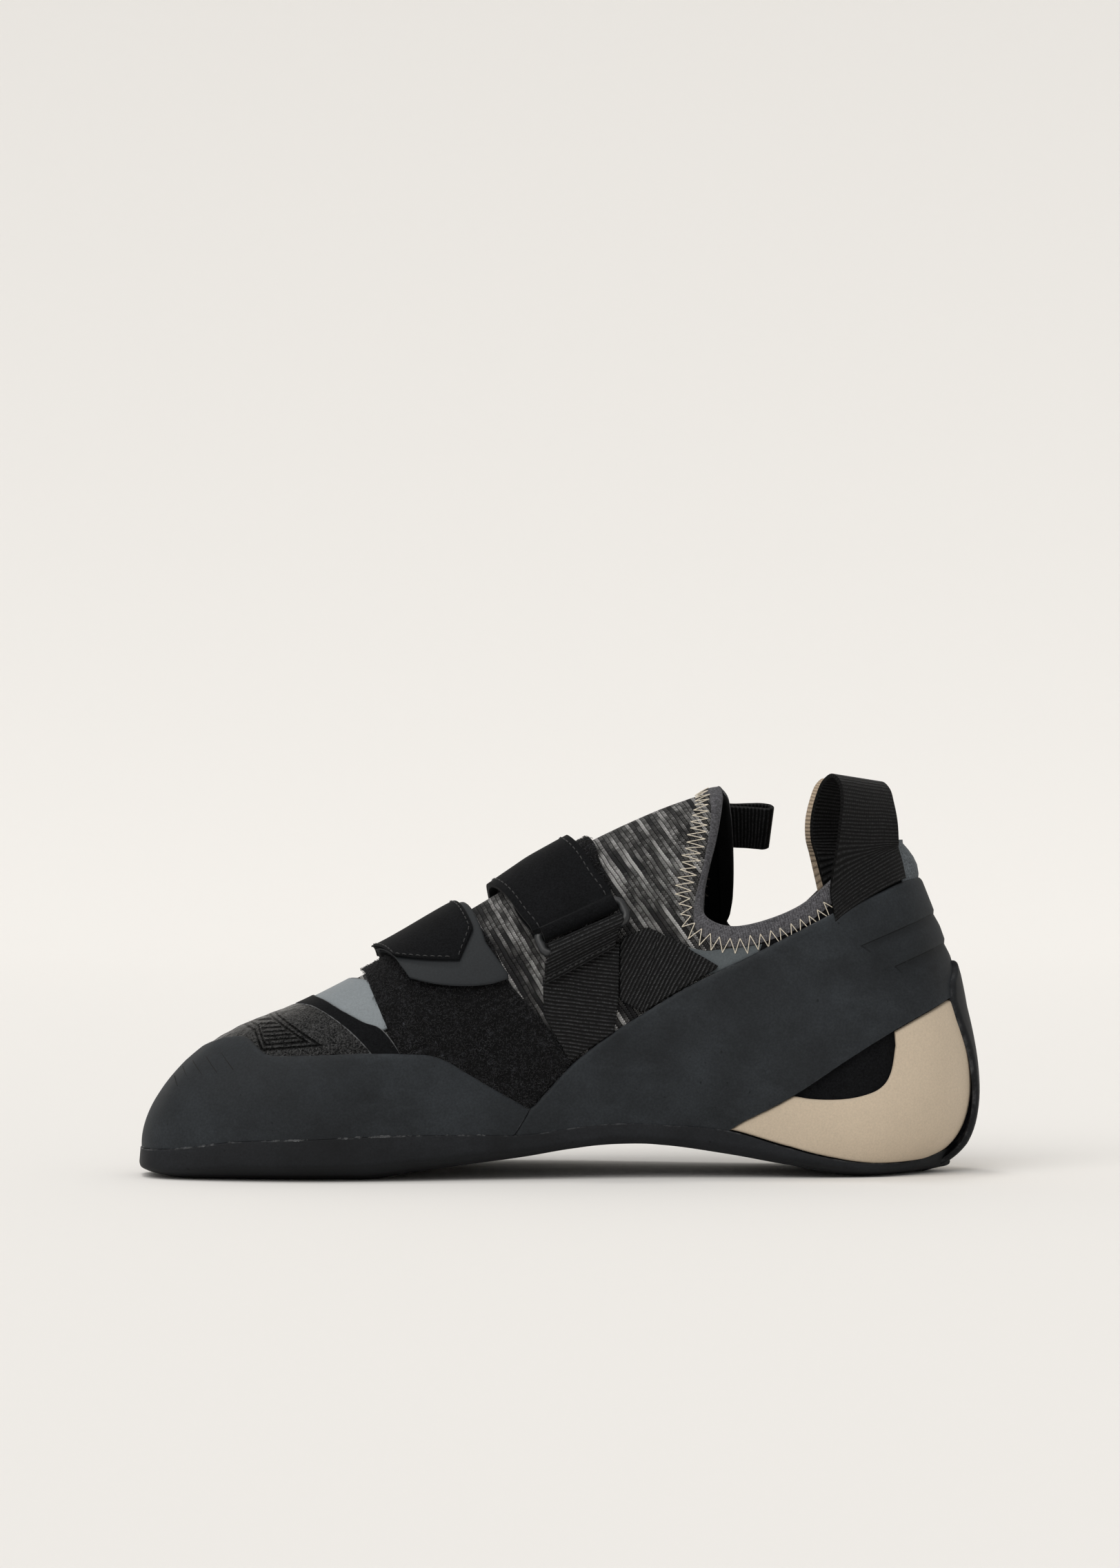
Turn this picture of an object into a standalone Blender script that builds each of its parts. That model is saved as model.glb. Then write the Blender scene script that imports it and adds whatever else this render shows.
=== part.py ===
"""A right climbing shoe with two hook-and-loop straps.

The toe points along -X, the big-toe side faces -Y and the shoe stands on z = 0.
All sizes and tables are in millimetres, and the meshes are written in metres.
"""

import math
from collections import namedtuple

import bmesh
import bpy
import numpy as np

# Driving dimensions
LENGTH = 259.0
BALL_WIDTH = 92.0
INSTEP_HEIGHT = 118.4
HEEL_HEIGHT = 102.0

# Sizes that the tables below are drawn at
DRAWN_LENGTH = 259.0
DRAWN_WIDTH = 92.0
DRAWN_INSTEP = 118.4
DRAWN_HEEL = 102.0

# Thicknesses and gaps
MM = 0.001
GAP = 0.3
WALL = 2.0
RAND = 1.8
BAND = 1.8
CUP = 1.3
PATCH = 1.2
TRIM = 1.0
PANEL = 0.9
LOOP_PILE = 2.2
STRAP = 1.6
TAB = 1.2
WEBBING = 1.3
BINDING = 0.9
RIBBON = 1.2
INSOLE = 2.6
INSOLE_INSET = 3.0
HEEL_STRIP = 3.4
SOLE_EDGE = 2.4
EDGE_INSET = 0.2

# Counts of facets
FRONT_STEPS = 3
BACK_STEPS = 2
WALL_ROWS = 7

# The feather line of the upper on both sides, from the tip of the toe to the back of the heel
Foot = namedtuple("Foot", "name med_x med_y lat_x lat_y")
FEET = [
    Foot("tip", -127.2, -16.0, -127.2, -16.0),
    Foot("toe corner", -121.0, -30.0, -124.3, -2.5),
    Foot("big toe", -103.0, -38.3, -112.0, 13.5),
    Foot("ball front", -78.0, -42.8, -89.0, 29.0),
    Foot("ball back", -52.0, -41.0, -58.0, 39.5),
    Foot("waist", -25.0, -36.5, -26.0, 43.2),
    Foot("arch", -2.0, -32.8, -1.0, 41.5),
    Foot("instep", 12.0, -31.1, 14.0, 39.1),
    Foot("peak", 21.0, -30.2, 23.0, 37.4),
    Foot("peak side", 27.0, -29.6, 29.0, 36.2),
    Foot("throat", 33.5, -29.1, 35.5, 34.6),
    Foot("throat low", 42.0, -28.6, 44.0, 32.7),
    Foot("collar corner", 53.0, -28.0, 55.0, 30.9),
    Foot("collar side", 66.0, -27.5, 67.0, 28.9),
    Foot("collar rear", 82.0, -26.3, 83.0, 26.7),
    Foot("heel side", 97.0, -22.0, 97.0, 22.0),
    Foot("heel quarter", 107.0, -12.0, 107.0, 12.0),
    Foot("heel back", 110.5, 0.0, 110.5, 0.0),
]

# The crown line, where both sides meet, for the sections from the tip to the peak
Crown = namedtuple("Crown", "x y z slope")
CROWN = [
    Crown(-95.0, -15.0, 45.7, 0.42),
    Crown(-93.5, -14.9, 46.3, 0.42),
    Crown(-89.0, -14.3, 48.0, 0.42),
    Crown(-77.0, -12.5, 52.9, 0.45),
    Crown(-54.0, -10.0, 65.0, 0.57),
    Crown(-27.0, -7.5, 81.7, 0.62),
    Crown(3.0, -4.5, 99.0, 0.55),
    Crown(28.0, -2.0, 110.9, 0.44),
    Crown(49.0, 0.0, 118.4, 0.36),
]
PEAK = len(CROWN) - 1

# The edge of the collar, for the sections behind the peak
Collar = namedtuple("Collar", "med_x med_y med_z lat_x lat_y lat_z")
COLLAR = [
    Collar(49.3, -7.0, 114.5, 51.8, 7.0, 114.3),
    Collar(47.0, -14.0, 102.0, 53.3, 14.0, 101.0),
    Collar(43.0, -21.5, 87.0, 53.2, 21.5, 86.0),
    Collar(43.6, -25.5, 79.3, 51.3, 25.8, 77.0),
    Collar(54.0, -27.5, 76.2, 58.5, 27.5, 73.0),
    Collar(72.0, -26.5, 82.0, 73.0, 26.5, 79.0),
    Collar(87.0, -22.0, 93.8, 87.0, 22.0, 91.8),
    Collar(99.5, -12.0, 100.8, 99.5, 12.0, 100.4),
    Collar(104.3, 0.0, 102.0, 104.3, 0.0, 102.0),
]

# How each section swells: outward and up from the feather line, forward and outward from the top
Swell = namedtuple("Swell", "med_flare med_rise med_lean med_out lat_flare lat_rise lat_lean lat_out drop")
SWELLS = [
    Swell(1.0, 13.5, 17.0, 0.0, 1.0, 13.5, 17.0, 0.0, 0.0),
    Swell(1.5, 15.0, 11.0, 11.0, 1.5, 13.0, 13.0, 12.0, 0.0),
    Swell(2.0, 19.0, 3.0, 16.0, 2.0, 14.0, 7.0, 22.0, 0.0),
    Swell(2.5, 24.0, 0.0, 20.0, 2.5, 16.0, 2.0, 28.0, 0.0),
    Swell(3.0, 29.0, 0.0, 20.0, 2.5, 19.0, 0.0, 31.0, 0.0),
    Swell(4.0, 33.0, 0.0, 19.0, 2.0, 26.0, 0.0, 29.0, 0.0),
    Swell(5.0, 36.0, 2.0, 18.0, 1.5, 33.0, 2.0, 26.0, 0.0),
    Swell(6.0, 38.0, 6.0, 16.0, 2.0, 37.0, 6.0, 20.0, 0.0),
    Swell(6.5, 38.0, 9.0, 14.0, 2.5, 37.0, 9.0, 15.0, 0.0),
    Swell(7.0, 37.0, 10.0, 10.0, 3.0, 36.0, 11.0, 10.0, 6.0),
    Swell(7.0, 35.0, 11.0, 8.5, 3.5, 33.0, 13.0, 8.5, 10.0),
    Swell(6.8, 32.0, 9.0, 5.0, 4.0, 30.0, 12.0, 5.0, 13.0),
    Swell(6.8, 28.0, 5.0, 4.5, 5.0, 26.0, 6.0, 4.5, 17.0),
    Swell(7.5, 24.0, 0.0, 3.0, 6.5, 22.0, 0.0, 3.0, 22.0),
    Swell(9.0, 18.0, -2.0, 4.0, 9.0, 17.0, -2.0, 4.0, 27.0),
    Swell(14.0, 12.0, -6.0, 5.0, 14.0, 12.0, -6.0, 5.0, 31.0),
    Swell(23.0, 8.0, -10.0, 7.0, 23.0, 8.0, -10.0, 7.0, 33.0),
    Swell(29.0, 6.0, -15.0, 0.0, 29.0, 6.0, -15.0, 0.0, 33.0),
]
LAST_SECTION = len(FEET) - 1

# The side of the sole: its top line, the lower edge of its wall, its underside and the width of its bevel
Sole = namedtuple("Sole", "x top edge low bevel")
SOLE = [
    Sole(-130.0, 8.5, 3.0, 0.9, 6.0),
    Sole(-116.0, 9.4, 3.2, 0.0, 9.0),
    Sole(-98.0, 12.0, 4.5, 0.0, 11.0),
    Sole(-74.0, 12.9, 4.8, 0.0, 12.0),
    Sole(-58.0, 13.6, 5.2, 0.0, 11.0),
    Sole(-44.0, 13.9, 6.4, 2.2, 9.0),
    Sole(-28.0, 13.9, 8.0, 4.4, 7.0),
    Sole(-11.0, 13.8, 9.2, 6.6, 6.0),
    Sole(5.0, 16.0, 11.6, 9.2, 5.0),
    Sole(17.0, 17.0, 12.8, 10.3, 5.0),
    Sole(30.0, 16.5, 12.4, 10.0, 5.0),
    Sole(50.0, 14.7, 10.4, 7.2, 5.0),
    Sole(70.0, 9.0, 5.9, 3.6, 5.0),
    Sole(84.0, 5.6, 3.2, 0.9, 6.0),
    Sole(95.0, 4.3, 2.2, 0.0, 7.0),
    Sole(107.0, 4.4, 2.3, 0.0, 7.0),
    Sole(113.0, 5.6, 3.2, 0.5, 7.0),
]

# Side-view lines of the panels on the big-toe side, as places along the shoe and heights
RAND_TOP = [
    (-101.3, 41.4), (-96.6, 42.0), (-94.0, 41.4), (-90.8, 38.9), (-86.8, 37.2), (-73.5, 37.6), (-57.4, 38.4),
    (-41.6, 38.2), (-35.6, 36.8), (-28.1, 32.6), (-20.2, 27.8), (-9.8, 21.8), (-11.7, 19.3), (-14.6, 14.4),
]
RAND_CROWN_X = -107.2
BAND_TOP = [
    (-9.6, 22.0), (-7.5, 23.7), (3.1, 34.9), (15.7, 44.5), (24.9, 50.1), (38.9, 58.3), (48.5, 63.2),
    (55.6, 66.6),
    (79.9, 79.1), (99.8, 87.8),
]
BAND_BACK_TOP = 90.5
BAND_LOW = [(50.7, 15.6), (69.6, 25.2), (85.0, 35.2), (100.4, 44.7), (117.0, 53.5)]
BAND_BACK_LOW = 65.4
MOON = [(70.3, 25.4), (76.0, 24.4), (84.0, 24.2), (91.0, 25.2), (96.7, 27.6), (99.8, 32.3), (101.3, 41.0)]
STRIP_TOP = 64.6
STRIP_SECTION = LAST_SECTION - 0.56

# Colours and finishes
Finish = namedtuple("Finish", "colour roughness")
RUBBER = Finish((0.030, 0.034, 0.038), 0.72)
SOLE_RUBBER = Finish((0.018, 0.019, 0.022), 0.62)
KNIT = Finish((0.085, 0.085, 0.092), 0.95)
BEIGE = Finish((0.55, 0.46, 0.35), 0.85)
BLACK_SUEDE = Finish((0.020, 0.021, 0.024), 0.92)
GREY_FABRIC = Finish((0.24, 0.27, 0.30), 0.88)
GRAINED = Finish((0.014, 0.014, 0.016), 0.50)
PILE = Finish((0.012, 0.012, 0.014), 1.0)
STRAP_GREY = Finish((0.16, 0.17, 0.19), 0.75)
PLASTIC = Finish((0.20, 0.21, 0.22), 0.45)
WEB_BLACK = Finish((0.016, 0.016, 0.018), 0.80)
BOARD = Finish((0.10, 0.10, 0.10), 0.90)
HEEL_SUEDE = Finish((0.30, 0.30, 0.31), 0.90)

SCALE = np.array([LENGTH / DRAWN_LENGTH, BALL_WIDTH / DRAWN_WIDTH, 1.0])

# Brings the middle of the overall box onto the origin
CENTRE = np.array([0.62, -0.2, 0.0])


# Curves through the rows of the tables


def through(rows, at):
    """Points of the smooth curve through evenly numbered rows, at these row numbers."""
    rows = np.asarray(rows, float)
    at = np.atleast_1d(np.asarray(at, float))
    first = np.clip(np.floor(at).astype(int), 1, len(rows) - 3)
    t = (at - first)[:, None]
    a, b, c, d = rows[first - 1], rows[first], rows[first + 1], rows[first + 2]
    cubic = 2 * b + (c - a) * t + (2 * a - 5 * b + 4 * c - d) * t**2 + (3 * b - a - 3 * c + d) * t**3
    return cubic / 2


def smooth_across(table, name, x):
    """The value of one column at a place along the shoe, along a smooth curve through the rows."""
    xs = np.array([row.x for row in table])
    values = np.array([[getattr(row, name)] for row in table])
    padded = np.vstack([2 * values[:1] - values[1:2], values, 2 * values[-1:] - values[-2:-1]])
    place = np.interp(x, xs, np.arange(len(xs)))
    return through(padded, place + 1)[:, 0]


def mirrored_ends(near, far):
    """The rows of one side of the shoe with two rows of the other side past each end."""
    return np.vstack([far[2], far[1], near, far[-2], far[-3]])


def side_rows(prefix):
    """Feather points and swells of one side, a row for each section."""
    foot = np.array([[getattr(f, prefix + "_x"), getattr(f, prefix + "_y")] for f in FEET])
    names = [prefix + part for part in ("_flare", "_rise", "_lean", "_out")]
    swell = np.array([[getattr(s, name) for name in names] + [s.drop] for s in SWELLS])
    slope = np.array([[c.slope] for c in CROWN] + [[0.0]] * len(COLLAR))
    return np.hstack([foot, swell, slope])


def collar_rows(prefix):
    """The edge of the collar on one side, from the peak to the back of the heel."""
    peak = [[CROWN[-1].x, CROWN[-1].y, CROWN[-1].z]]
    rest = [[getattr(row, prefix + axis) for axis in ("_x", "_y", "_z")] for row in COLLAR]
    rows = np.array(peak + rest)
    rows[:, 2] *= np.linspace(INSTEP_HEIGHT / DRAWN_INSTEP, HEEL_HEIGHT / DRAWN_HEEL, len(rows))
    return rows


MED_ROWS = side_rows("med")
LAT_ROWS = side_rows("lat")
SIDE_ROWS = {-1: mirrored_ends(MED_ROWS, LAT_ROWS), 1: mirrored_ends(LAT_ROWS, MED_ROWS)}
CROWN_ROWS = np.array([[c.x, c.y, c.z * INSTEP_HEIGHT / DRAWN_INSTEP] for c in CROWN])
CROWN_PADDED = np.vstack([CROWN_ROWS[2], CROWN_ROWS[1], CROWN_ROWS, 2 * CROWN_ROWS[-1] - CROWN_ROWS[-2]])
COLLAR_SIDES = {-1: collar_rows("med"), 1: collar_rows("lat")}


def collar_padded(side):
    """The collar's edge with rows past both ends."""
    own, other = COLLAR_SIDES[side], COLLAR_SIDES[-side]
    return np.vstack([2 * own[0] - own[1], own, other[-2], other[-3]])


def tops(u, side):
    """Top points of the wall: on the crown up to the peak, and on the collar's edge behind it."""
    crown = through(CROWN_PADDED, np.clip(u, -1.0, PEAK) + 2)
    collar = through(collar_padded(side), np.maximum(u - PEAK, 0.0) + 1)
    return np.where((u <= PEAK)[:, None], crown, collar)


def wall(u, v, side):
    """Points of the last on one side: u counts the sections, v runs from the feather line to the top."""
    rows = through(SIDE_ROWS[side], u + 2)
    step = 0.01
    run = through(SIDE_ROWS[side][:, :2], u + 2 + step) - through(SIDE_ROWS[side][:, :2], u + 2 - step)
    run /= np.linalg.norm(run, axis=1)[:, None]
    outward = np.stack([-side * run[:, 1], side * run[:, 0]], axis=1)
    flare, rise, lean, out, drop, slope = rows[:, 2:].T
    foot = np.column_stack([rows[:, :2], smooth_across(SOLE, "top", rows[:, 0]) + GAP])
    top = tops(u, side)
    low_pull = foot + np.column_stack([outward * flare[:, None], rise])
    turn = np.where((u < 0) | (u > LAST_SECTION), -side, side)
    high_pull = top + np.column_stack([-lean, turn * out, -lean * slope - drop])
    v = v[:, None]
    rest = 1 - v
    return rest**3 * foot + 3 * rest**2 * v * low_pull + 3 * rest * v**2 * high_pull + v**3 * top


def last(u, w):
    """Points of the last: w is -1 on the medial feather line, 0 at the top and 1 on the lateral one."""
    u, w = np.broadcast_arrays(np.atleast_1d(np.asarray(u, float)), np.atleast_1d(np.asarray(w, float)))
    shape = u.shape
    u, w = u.ravel(), w.ravel()
    height = 1 - np.abs(w)
    points = np.where((w <= 0)[:, None], wall(u, height, -1), wall(u, height, 1))
    return (points * SCALE).reshape(shape + (3,))


def normals(u, w):
    """Outward directions of the last."""
    u, w = np.broadcast_arrays(np.atleast_1d(np.asarray(u, float)), np.atleast_1d(np.asarray(w, float)))
    du, dw = 0.01, 0.004
    w = np.where((np.abs(u) < 0.05) & (np.abs(w) < 0.03), -0.03, w)
    along = last(u + du, w) - last(u - du, w)
    open_top = u > PEAK - 0.02
    low, high = w - dw, w + dw
    high = np.where(open_top & (w <= 0), np.minimum(high, -1e-6), high)
    low = np.where(open_top & (w > 0), np.maximum(low, 1e-6), low)
    up = last(u, high) - last(u, low)
    normal = np.cross(along, up)
    return normal / np.linalg.norm(normal, axis=-1, keepdims=True)


def raised(u, w, offset):
    """Points that stand off the last by this much."""
    return last(u, w) + normals(u, w) * np.asarray(offset, float)[..., None]


# Places on the last, found from a side view


def on(x, z, side=-1):
    """Section and share of the wall for a place in the side view of one side."""
    us, vs = np.meshgrid(np.linspace(0.0, LAST_SECTION, 120), np.linspace(0.02, 0.98, 40))
    points = last(us, side * (1 - vs))
    distance = (points[..., 0] - x) ** 2 + (points[..., 2] - z) ** 2
    best = np.unravel_index(np.argmin(distance), distance.shape)
    place = np.array([us[best], vs[best]])
    step = 1e-4
    for _ in range(12):
        u, v = place
        here = last(u, side * (1 - v))[0][[0, 2]]
        by_u = (last(u + step, side * (1 - v))[0][[0, 2]] - here) / step
        by_v = (last(u, side * (1 - v - step))[0][[0, 2]] - here) / step
        slopes = np.column_stack([by_u, by_v])
        move = np.linalg.lstsq(slopes, np.array([x, z]) - here, rcond=0.02)[0]
        place = place + np.clip(move, [-0.3, -0.1], [0.3, 0.1])
        place = np.clip(place, [0.0, 0.0], [LAST_SECTION, 0.999])
    return np.array([place[0], side * (1 - place[1])])


def far(x, z):
    """Section and share of the wall for a place in the side view of the lateral side."""
    return on(x, z, 1)


def crown(x):
    """Section of a place on the crown line."""
    us = np.linspace(0.0, PEAK, 400)
    return np.array([np.interp(x, last(us, 0.0)[:, 0], us), 0.0])


def spread(points, parts=3):
    """Points on the straight lines between these points."""
    points = np.array(points, float)
    at = np.linspace(0, len(points) - 1, (len(points) - 1) * parts + 1)
    return np.column_stack([np.interp(at, np.arange(len(points)), column) for column in points.T])


def edge(points, start=None, end=None):
    """A line on the wall as a share of the wall for each section, from places in the side view."""
    found = [on(x, z) for x, z in spread(points)]
    found = ([start] if start is not None else []) + found + ([end] if end is not None else [])
    return [place[0] for place in found], [1 - abs(place[1]) for place in found]


def share_at(u, x=None, z=None):
    """Share of the wall where one section reaches a place along the shoe or a height."""
    shares = np.linspace(0.0, 1.0, 400)
    points = last(u, shares - 1)
    values = points[:, 0] if x is not None else points[:, 2]
    return float(np.interp(x if x is not None else z, values, shares))


# Meshes


def clear_scene():
    for item in list(bpy.data.objects):
        bpy.data.objects.remove(item, do_unlink=True)


def collection(name, shown=True):
    made = bpy.data.collections.new(name)
    bpy.context.scene.collection.children.link(made)
    made.hide_render = not shown
    return made


def material(name, finish):
    made = bpy.data.materials.new(name)
    made.use_nodes = True
    shader = made.node_tree.nodes["Principled BSDF"]
    shader.inputs["Base Color"].default_value = (*finish.colour, 1.0)
    shader.inputs["Roughness"].default_value = finish.roughness
    shader.inputs["Metallic"].default_value = 0.0
    return made


def add_object(name, mesh, finish, group):
    item = bpy.data.objects.new(name, mesh)
    group.objects.link(item)
    if finish is not None:
        mesh.materials.append(material(name + "_finish", finish))
    return item


def finish_mesh(name, bm):
    """A mesh of this shape with its doubles merged and its faces turned outward."""
    bmesh.ops.remove_doubles(bm, verts=bm.verts, dist=0.00002)
    bmesh.ops.dissolve_degenerate(bm, edges=bm.edges, dist=0.00001)
    bmesh.ops.recalc_face_normals(bm, faces=bm.faces)
    mesh = bpy.data.meshes.new(name)
    bm.to_mesh(mesh)
    bm.free()
    return mesh


def add_grid(bm, grid, flip=False):
    """Adds the faces between neighbouring points of a grid."""
    corners = [[bm.verts.new((point + CENTRE) * MM) for point in row] for row in grid]
    for low, high in zip(corners, corners[1:]):
        for a, b, c, d in zip(low, low[1:], high[1:], high):
            bm.faces.new((d, c, b, a) if flip else (a, b, c, d))
    return corners


def pull_in_borders(grid, distance=EDGE_INSET, rows=True, columns=True):
    """Draws the border of a grid in, so that neighbouring pieces stay a little apart."""
    grid = np.array(grid, float)
    if rows:
        for border, inner in ((0, 1), (-1, -2)):
            step = grid[inner] - grid[border]
            length = np.linalg.norm(step, axis=1, keepdims=True)
            grid[border] += step / np.maximum(length, 1e-6) * np.minimum(distance, length * 0.4)
    if columns:
        for border, inner in ((0, 1), (-1, -2)):
            step = grid[:, inner] - grid[:, border]
            length = np.linalg.norm(step, axis=1, keepdims=True)
            grid[:, border] += step / np.maximum(length, 1e-6) * np.minimum(distance, length * 0.4)
    return grid


def shell(name, grids, thickness, finish, group, offset=1.0):
    """A solid of even thickness on an open surface whose faces look away from the foot."""
    bm = bmesh.new()
    for grid in grids:
        add_grid(bm, grid)
    bmesh.ops.remove_doubles(bm, verts=bm.verts, dist=0.00002)
    bmesh.ops.dissolve_degenerate(bm, edges=bm.edges, dist=0.00001)
    mesh = bpy.data.meshes.new(name)
    bm.to_mesh(mesh)
    bm.free()
    item = add_object(name, mesh, finish, group)
    thicken = item.modifiers.new("thickness", "SOLIDIFY")
    thicken.thickness = thickness * MM
    thicken.offset = offset
    thicken.use_even_offset = False
    thicken.use_rim = True
    return item


def columns_between(low, high, extra=()):
    """Section numbers from low to high, on the facets of the upper, with the ends and a few more."""
    front = np.arange(0, PEAK * FRONT_STEPS) / FRONT_STEPS
    back = PEAK + np.arange(0, (LAST_SECTION - PEAK) * BACK_STEPS + 1) / BACK_STEPS
    inside = [u for u in np.concatenate([front, back]) if low + 0.08 < u < high - 0.08]
    return np.array(sorted([low, *inside, *extra, high]))


def wall_grid(us, low, high, rows, side, offset):
    """A grid on one side between two lines given as shares of the wall for each section."""
    parts = np.linspace(0.0, 1.0, rows + 1)[:, None]
    shares = low[None, :] * (1 - parts) + high[None, :] * parts
    sections = np.broadcast_to(us, shares.shape)
    return raised(sections, side * np.maximum(1 - shares, 1e-6), np.full(shares.shape, offset))


def both_sides(us, low, high, rows, offset, joined_at_tip):
    """One grid round the toe or round the heel, from the medial end to the lateral end."""
    medial = wall_grid(us, low, high, rows, -1, offset)
    lateral = wall_grid(us, low, high, rows, 1, offset)
    if joined_at_tip:
        return np.concatenate([lateral[:, ::-1], medial[:, 1:]], axis=1)
    return np.concatenate([medial, lateral[:, ::-1][:, 1:]], axis=1)


def net(rows, along, wide):
    """Places on the last between rows of places, each row running the same way."""
    rows = [np.array(row) for row in rows]
    rows = np.array(rows)
    parts = np.linspace(0, len(rows) - 1, along)
    first = np.minimum(parts.astype(int), len(rows) - 2)
    share = (parts - first)[:, None, None]
    lines = rows[first] * (1 - share) + rows[first + 1] * share
    spots = np.linspace(0, lines.shape[1] - 1, wide)
    left = np.minimum(spots.astype(int), lines.shape[1] - 2)
    part = (spots - left)[None, :, None]
    return lines[:, left] * (1 - part) + lines[:, left + 1] * part


def offsets_along(values, along, wide):
    """Heights above the last for each row of a net."""
    parts = np.interp(np.linspace(0, len(values) - 1, along), np.arange(len(values)), values)
    return np.repeat(parts[:, None], wide, axis=1)


def laid(rows, along, wide, offsets, inset=True):
    """A grid that lies on the last between rows of places, with its faces looking outward."""
    places = net(rows, along, wide)
    grid = raised(places[..., 0], places[..., 1], offsets_along(offsets, along, wide))
    middle = places[along // 2, wide // 2]
    out = normals(middle[:1], middle[1:])[0]
    cell = grid[along // 2, wide // 2]
    facing = np.cross(grid[along // 2, wide // 2 + 1] - cell, grid[along // 2 + 1, wide // 2] - cell)
    if np.dot(facing, out) < 0:
        grid = grid[:, ::-1]
    return pull_in_borders(grid) if inset else grid


def laid_flat(rows, along, wide, offset):
    """A grid on the medial side whose outline is given in the side view."""
    flat = net(rows, along, wide)
    places = [[on(x, z) for x, z in row] for row in flat]
    return laid(places, along, wide, [offset, offset])


# Pieces


def outward_at(us, side):
    """Level ways out from the feather line."""
    toward = last(us + 0.01, side * np.ones_like(us)) - last(us - 0.01, side * np.ones_like(us))
    outward = np.column_stack([-side * toward[:, 1], side * toward[:, 0], np.zeros(len(us))])
    return outward / np.linalg.norm(outward, axis=1)[:, None]


def loop_rings(us, side):
    """The rings of the outsole on one side: feather, top edge, wall edge and underside."""
    foot = last(us, side * np.ones_like(us))
    outward = outward_at(us, side)
    heel = np.clip((us - LAST_SECTION + 2.2) / 2.2, 0.0, 1.0)[:, None]
    reach = SOLE_EDGE + 5.2 * heel**2
    up = np.array([0.0, 0.0, 1.0])
    feather = foot - up * GAP
    top = feather + outward * reach + up * 2.1 * heel**2
    edge_z = smooth_across(SOLE, "edge", foot[:, 0])
    low_z = np.maximum(smooth_across(SOLE, "low", foot[:, 0]), 0.0)
    bevel = smooth_across(SOLE, "bevel", foot[:, 0])[:, None]
    wall_edge = feather + outward * (reach + 0.5)
    wall_edge[:, 2] = edge_z + 1.4 * heel[:, 0] ** 2
    under = feather + outward * (reach - bevel * (1 + 0.3 * heel))
    under[:, 2] = low_z
    low_step = feather + outward * (reach - bevel * 0.35)
    low_step[:, 2] = low_z + (wall_edge[:, 2] - low_z) * 0.42
    return feather, top, wall_edge, low_step, under


def outsole_plate(name):
    """The plate under the foot, closed across between the rings of both sides."""
    us = columns_between(0.0, float(LAST_SECTION))
    medial = loop_rings(us, -1)
    lateral = loop_rings(us, 1)
    bm = bmesh.new()
    middle_top = (medial[0] + lateral[0]) / 2
    middle_low = (medial[4] + lateral[4]) / 2
    rings = [middle_top, *medial, middle_low]
    add_grid(bm, np.array(rings))
    rings = [middle_top, *lateral, middle_low]
    add_grid(bm, np.array(rings), flip=True)
    return finish_mesh(name, bm)


def strip_grid(offset):
    """The strip up the back of the heel."""
    us = np.array([STRIP_SECTION, STRIP_SECTION + 0.2, STRIP_SECTION + 0.4, float(LAST_SECTION)])
    low = np.full(len(us), 0.0)
    high = np.array([share_at(u, z=STRIP_TOP - drop) for u, drop in zip(us, (3.2, 1.2, 0.3, 0.0))])
    return both_sides(us, low, high, 8, offset, joined_at_tip=False)


def join(target, tool):
    """Joins two closed solids into one."""
    union = target.modifiers.new("join", "BOOLEAN")
    union.operation = "UNION"
    union.solver = "EXACT"
    union.object = tool


def outsole(group, tools):
    plate = add_object("outsole", outsole_plate("outsole"), SOLE_RUBBER, group)
    strip = shell("heel_strip_tool", [strip_grid(GAP)], HEEL_STRIP, None, tools)
    strip.display_type = "WIRE"
    strip.hide_render = True
    join(plate, strip)
    return plate


def insole(group):
    """The board inside, on the outsole and between the walls of the upper."""
    us = np.append(np.arange(0.0, 2.9, 1 / FRONT_STEPS), np.arange(3.0, LAST_SECTION + 0.1, 1 / BACK_STEPS))
    bm = bmesh.new()
    rings = []
    for side in (-1, 1):
        foot = last(us, side * np.ones_like(us))
        low = foot - outward_at(us, side) * INSOLE_INSET
        low[:, 2] = foot[:, 2] + 0.2
        high = low + np.array([0.0, 0.0, INSOLE])
        rings.append((low, high))
    middle_low = (rings[0][0] + rings[1][0]) / 2
    middle_high = (rings[0][1] + rings[1][1]) / 2
    add_grid(bm, np.array([middle_low, rings[0][0], rings[0][1], middle_high]))
    add_grid(bm, np.array([middle_low, rings[1][0], rings[1][1], middle_high]), flip=True)
    return add_object("insole", finish_mesh("insole", bm), BOARD, group)


def upper(group):
    """The sock: both walls, joined along the crown and round the toe and the heel."""
    us = columns_between(0.0, float(LAST_SECTION), extra=(PEAK + 0.25,))
    low, high = np.zeros(len(us)), np.ones(len(us))
    medial = wall_grid(us, low, high, WALL_ROWS, -1, 0.0)
    lateral = wall_grid(us, low, high, WALL_ROWS, 1, 0.0)
    return shell("upper", [medial, lateral[:, ::-1]], WALL, KNIT, group, offset=-1.0)


def toe_rand(group):
    """Rubber round the toe and along both sides up to the V-shaped seam."""
    tip = np.array([0.0, share_at(0.0, x=RAND_CROWN_X) - 1])
    sections, shares = edge(RAND_TOP[:-2], start=tip)
    seam = on(*RAND_TOP[-1])[0]
    us = columns_between(0.0, sections[-1], extra=(1.83, 2.17))
    high = np.interp(us, sections, shares)
    low = np.interp(us, [0.0, seam, sections[-1]], [0.0, 0.0, shares[-1] * 0.72])
    grid = both_sides(us, low, high, 4, GAP + 0.1, joined_at_tip=True)
    return shell("toe_rand", [pull_in_borders(grid)], RAND, RUBBER, group)


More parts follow.
